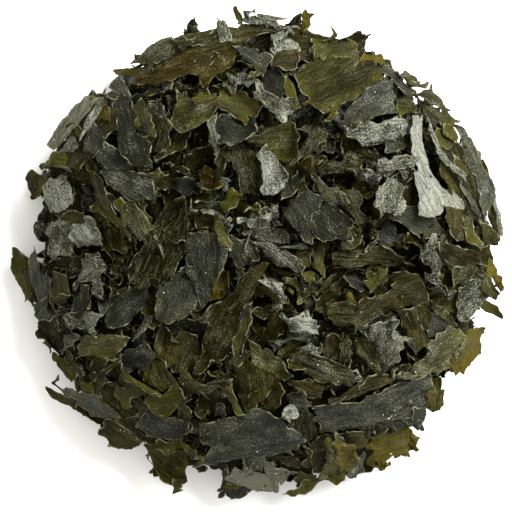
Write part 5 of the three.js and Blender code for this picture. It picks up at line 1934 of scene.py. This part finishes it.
@dataclass(frozen=True)
class Core:
    """The mass under the loose flakes: a mound with a flat underside and a scrappy relief.

    Args:
        mound: The heap's general shape.
        depth: How far it lies below that shape, in mm.
        relief: Depth of its relief, in mm.
        segments: Number of its faces all round.
        rings: Number of its faces from the top's middle to the underside's.
    """

    mound: Mound
    depth: float
    relief: float = 1.3
    segments: int = 150
    rings: int = 100

    def build(self, material: bpy.types.Material) -> bpy.types.Object:
        """Makes the core by rule.

        Args:
            material: Its material.

        Returns:
            The core, as a plain mesh.
        """
        rule = Rule("kombu_core")
        wires, mound = rule.wires, self.mound
        radius, height, shoulder, side, relief = rule.take(
            Radius=mound.radius * CORE_REACH * MM,
            Height=(mound.height - self.depth) * MM,
            Shoulder=mound.shoulder,
            Side=mound.side,
            Relief=self.relief * MM,
        )
        centre, segments, rings, skin = rule.take(
            Centre=(mound.centre[0] * MM, mound.centre[1] * MM, 0),
            Segments=self.segments,
            Rings=self.rings,
            Material=material,
        )

        ball = wires.node("GeometryNodeMeshUVSphere", {"Segments": segments, "Rings": rings, "Radius": 1.0})
        place = wires.node("GeometryNodeInputPosition").outputs[0]
        east, north, up = wires.node("ShaderNodeSeparateXYZ", {0: place}).outputs
        level = wires.node("ShaderNodeCombineXYZ", {0: east, 1: north}).outputs[0]
        share = wires.node("ShaderNodeVectorMath", {0: level}, operation="LENGTH").outputs["Value"]
        fall = wires.math("SUBTRACT", 1.0, wires.math("POWER", wires.math("MINIMUM", share, 1.0), shoulder))
        dome = wires.math("MULTIPLY", height, wires.math("POWER", wires.math("MAXIMUM", fall, 0.0), side))
        ridges = wires.math("ABSOLUTE", wires.over(wires.noise(place, 9.0, 5), 0.5))
        bumps = wires.math("MULTIPLY", relief, wires.math("MULTIPLY", ridges, -6.0))
        top = wires.math("MAXIMUM", wires.math("MULTIPLY_ADD", bumps, fall, dome), 0.0)
        rise = wires.math("MULTIPLY", top, wires.math("GREATER_THAN", up, 0.0001))
        wide = wires.node("ShaderNodeVectorMath", {0: level, 3: radius}, operation="SCALE").outputs[0]
        stand = wires.node("ShaderNodeCombineXYZ", {2: rise}).outputs[0]
        spot = wires.node("ShaderNodeVectorMath", {0: wide, 1: stand}, operation="ADD").outputs[0]
        spot = wires.node("ShaderNodeVectorMath", {0: spot, 1: centre}, operation="ADD").outputs[0]
        moved = wires.node("GeometryNodeSetPosition", {"Geometry": ball.outputs[0], "Position": spot})
        return rule.run(moved.outputs[0], skin)


@dataclass(frozen=True)
class Scatter:
    """Small grains scattered over what of the flakes lies open.

    Args:
        name: The piece's name.
        density: Grains on a square metre of open flake.
        least: Smallest grain, in mm.
        greatest: Largest grain, in mm.
        flatness: Thickness of a grain as a share of its width.
        salted: Whether the grains keep to the salted flakes.
        seed: Seed of the scatter.
    """

    name: str
    density: float
    least: float
    greatest: float
    flatness: float
    salted: bool
    seed: int

    def build(self, flakes: bpy.types.Collection, material: bpy.types.Material) -> bpy.types.Object:
        """Makes the grains by rule.

        Args:
            flakes: The collection of flake pieces.
            material: The grains' material.

        Returns:
            The grains, as one plain mesh.
        """
        rule = Rule(self.name)
        wires = rule.wires
        source, density, seed, skin = rule.take(
            Flakes=flakes, Density=self.density, Seed=self.seed, Material=material
        )
        least, greatest, flatness = rule.take(
            Least=self.least * MM / 2, Greatest=self.greatest * MM / 2, Flatness=self.flatness
        )

        group = wires.node("GeometryNodeCollectionInfo", {"Collection": source}).outputs[0]
        joined = wires.node("GeometryNodeRealizeInstances", {0: group}).outputs[0]
        normal = wires.node("GeometryNodeInputNormal").outputs[0]
        upward = wires.node("ShaderNodeSeparateXYZ", {0: normal}).outputs[2]
        facing = wires.math("GREATER_THAN", upward, 0.45)
        share = wires.math("MULTIPLY", facing, wires.math("GREATER_THAN", wires.named("open_sky"), 0.5))
        if self.salted:
            share = wires.math("MULTIPLY", share, wires.math("POWER", wires.named("salt"), 1.5))
        spots = wires.node(
            "GeometryNodeDistributePointsOnFaces",
            {"Mesh": joined, "Density": wires.math("MULTIPLY", density, share), "Seed": seed},
            distribute_method="RANDOM",
        )
        pebble = wires.node("GeometryNodeMeshIcoSphere", {"Radius": 1.0, "Subdivisions": 1}).outputs[0]
        number = wires.node("GeometryNodeInputIndex").outputs[0]
        turns = {0: (0.0, 0.0, 0.0), 1: (0.5, 0.5, 2 * math.pi), "ID": number, "Seed": seed}
        spin = wires.node("FunctionNodeRandomValue", turns, data_type="FLOAT_VECTOR").outputs[0]
        sizes = {2: least, 3: greatest, "Seed": seed}
        size = wires.node("FunctionNodeRandomValue", sizes, data_type="FLOAT").outputs[1]
        widths = {2: 0.45, 3: 1.0, "Seed": self.seed + 1}
        slim = wires.node("FunctionNodeRandomValue", widths, data_type="FLOAT").outputs[1]
        sides = {0: size, 1: wires.math("MULTIPLY", size, slim), 2: wires.math("MULTIPLY", size, flatness)}
        stretch = wires.node("ShaderNodeCombineXYZ", sides).outputs[0]
        laid = {"Points": spots.outputs[0], "Instance": pebble, "Rotation": spin, "Scale": stretch}
        return rule.run(wires.node("GeometryNodeInstanceOnPoints", laid).outputs[0], skin)


# ---- studio


@dataclass(frozen=True)
class Studio:
    """The pale surface, the soft lights and the camera straight above.

    Args:
        view_width: Width of what the camera sees at the heap, in mm.
        view_centre: Middle of the view, in mm.
        view_level: Height over the surface at which that width is measured, in mm.
        camera_height: Height of the camera over the surface, in metres.
        floor_reach: Half the side of the surface, in metres.
        surround: Colour of the light from all round.
        surround_strength: Strength of the light from all round.
        lamp_place: Place of the lamp, in metres.
        lamp_side: Side of the square lamp, in metres.
        lamp_power: Its power, in watts.
        lamp_colour: Its colour.
    """

    view_width: float = 101.6
    view_centre: tuple[float, float] = (-0.9, -1.33)
    view_level: float = 14.0
    camera_height: float = 0.85
    floor_reach: float = 1.5
    surround: Colour = (1.0, 0.985, 0.935)
    surround_strength: float = 1.2
    lamp_place: Place = (0.50, 0.44, 0.56)
    lamp_side: float = 0.55
    lamp_power: float = 28.0
    lamp_colour: Colour = (0.97, 0.985, 1.0)

    def build_floor(self) -> bpy.types.Object:
        """Makes the surface that the heap lies on.
        """
        half = self.floor_reach
        corners = np.array([[-half, -half, 0], [half, -half, 0], [half, half, 0], [-half, half, 0]])
        floor = mesh_object("pale_floor", corners, np.array([[0, 1, 2], [0, 2, 3]]))
        floor.data.materials.append(FLOOR_FINISH.build())
        return floor

    def build_camera(self) -> None:
        """Makes the camera, looking straight down."""
        lens = bpy.data.cameras.new("camera")
        distance = self.camera_height - self.view_level * MM
        lens.lens = lens.sensor_width * distance / (self.view_width * MM)
        camera = bpy.data.objects.new("camera", lens)
        camera.location = (self.view_centre[0] * MM, self.view_centre[1] * MM, self.camera_height)
        bpy.context.scene.collection.objects.link(camera)
        bpy.context.scene.camera = camera

    def build_lights(self) -> None:
        """Makes a white surround and a large soft lamp at the upper right, and keeps the tones plain."""
        world = bpy.data.worlds.new("white_surround")
        world.use_nodes = True
        surround = world.node_tree.nodes["Background"]
        surround.inputs["Color"].default_value = (*self.surround, 1.0)
        surround.inputs["Strength"].default_value = self.surround_strength
        bpy.context.scene.world = world
        lamp = bpy.data.lights.new("key", "AREA")
        lamp.shape, lamp.size = "SQUARE", self.lamp_side
        lamp.energy, lamp.color = self.lamp_power, self.lamp_colour
        hung = bpy.data.objects.new("key", lamp)
        hung.location = self.lamp_place
        hung.rotation_mode = "QUATERNION"
        hung.rotation_quaternion = Vector(self.lamp_place).to_track_quat("Z", "Y")
        bpy.context.scene.collection.objects.link(hung)
        bpy.context.scene.view_settings.view_transform = "Standard"
        bpy.context.scene.view_settings.look = "None"


# ---- the whole


def adopt(piece: bpy.types.Object) -> None:
    """Makes a piece part of the heap's one body, with its finish, and reports it.

    Args:
        piece: The piece.
    """
    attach(piece, BODY)
    LOG.info("%s: %d triangles", piece.name, sum(len(face.vertices) - 2 for face in piece.data.polygons))


def main() -> None:
    """Builds the heap, dresses it and sets up the studio."""
    logging.basicConfig(level=logging.INFO, format="%(name)s: %(message)s")
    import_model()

    mound = Mound.within(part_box(HEAP_NODE))
    rng = np.random.default_rng(SEED)
    heap = Heap(mound, rng)
    heap.start()
    # The filling and the scraps are darkened by their tone: painted shade in the gaps between the top
    # flakes.
    heap.fill(FILLING, count=900, spacing=1.1, below=5.0, tilt=26, steepest=58, tone=-0.5)
    heap.lay_drawn(spacing=0.6, steepest=34, tilt=12, firmness=88)
    heap.fill(SCRAPS, count=280, spacing=0.7, below=4.2, tilt=28, steepest=58, tone=-0.2)
    heap.slump()

    core = Core(mound, heap.core_depth + 0.5).build(CORE_FINISH.build())
    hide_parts(HEAP_NODE)
    adopt(core)

    flakes = bpy.data.collections.new("flakes")
    bpy.context.scene.collection.children.link(flakes)
    for kind, finish in FINISHES.items():
        kelp = FlakePiece(kind.value, heap.laid[kind])
        piece = kelp.build(heap.ground, rng)
        piece.data.materials.append(finish.build())
        flakes.objects.link(piece)
        adopt(piece)

    crumbs = Scatter("kelp_crumbs", 40000.0, 0.25, 1.0, flatness=0.35, salted=False, seed=5)
    adopt(crumbs.build(flakes, CRUMB_FINISH.build()))
    salt = Scatter("salt_grains", 120000.0, 0.09, 0.24, flatness=0.8, salted=True, seed=9)
    adopt(salt.build(flakes, SALT_FINISH.build()))

    studio = Studio()
    studio.build_floor()
    studio.build_camera()
    studio.build_lights()


if __name__ == "__main__":
    main()
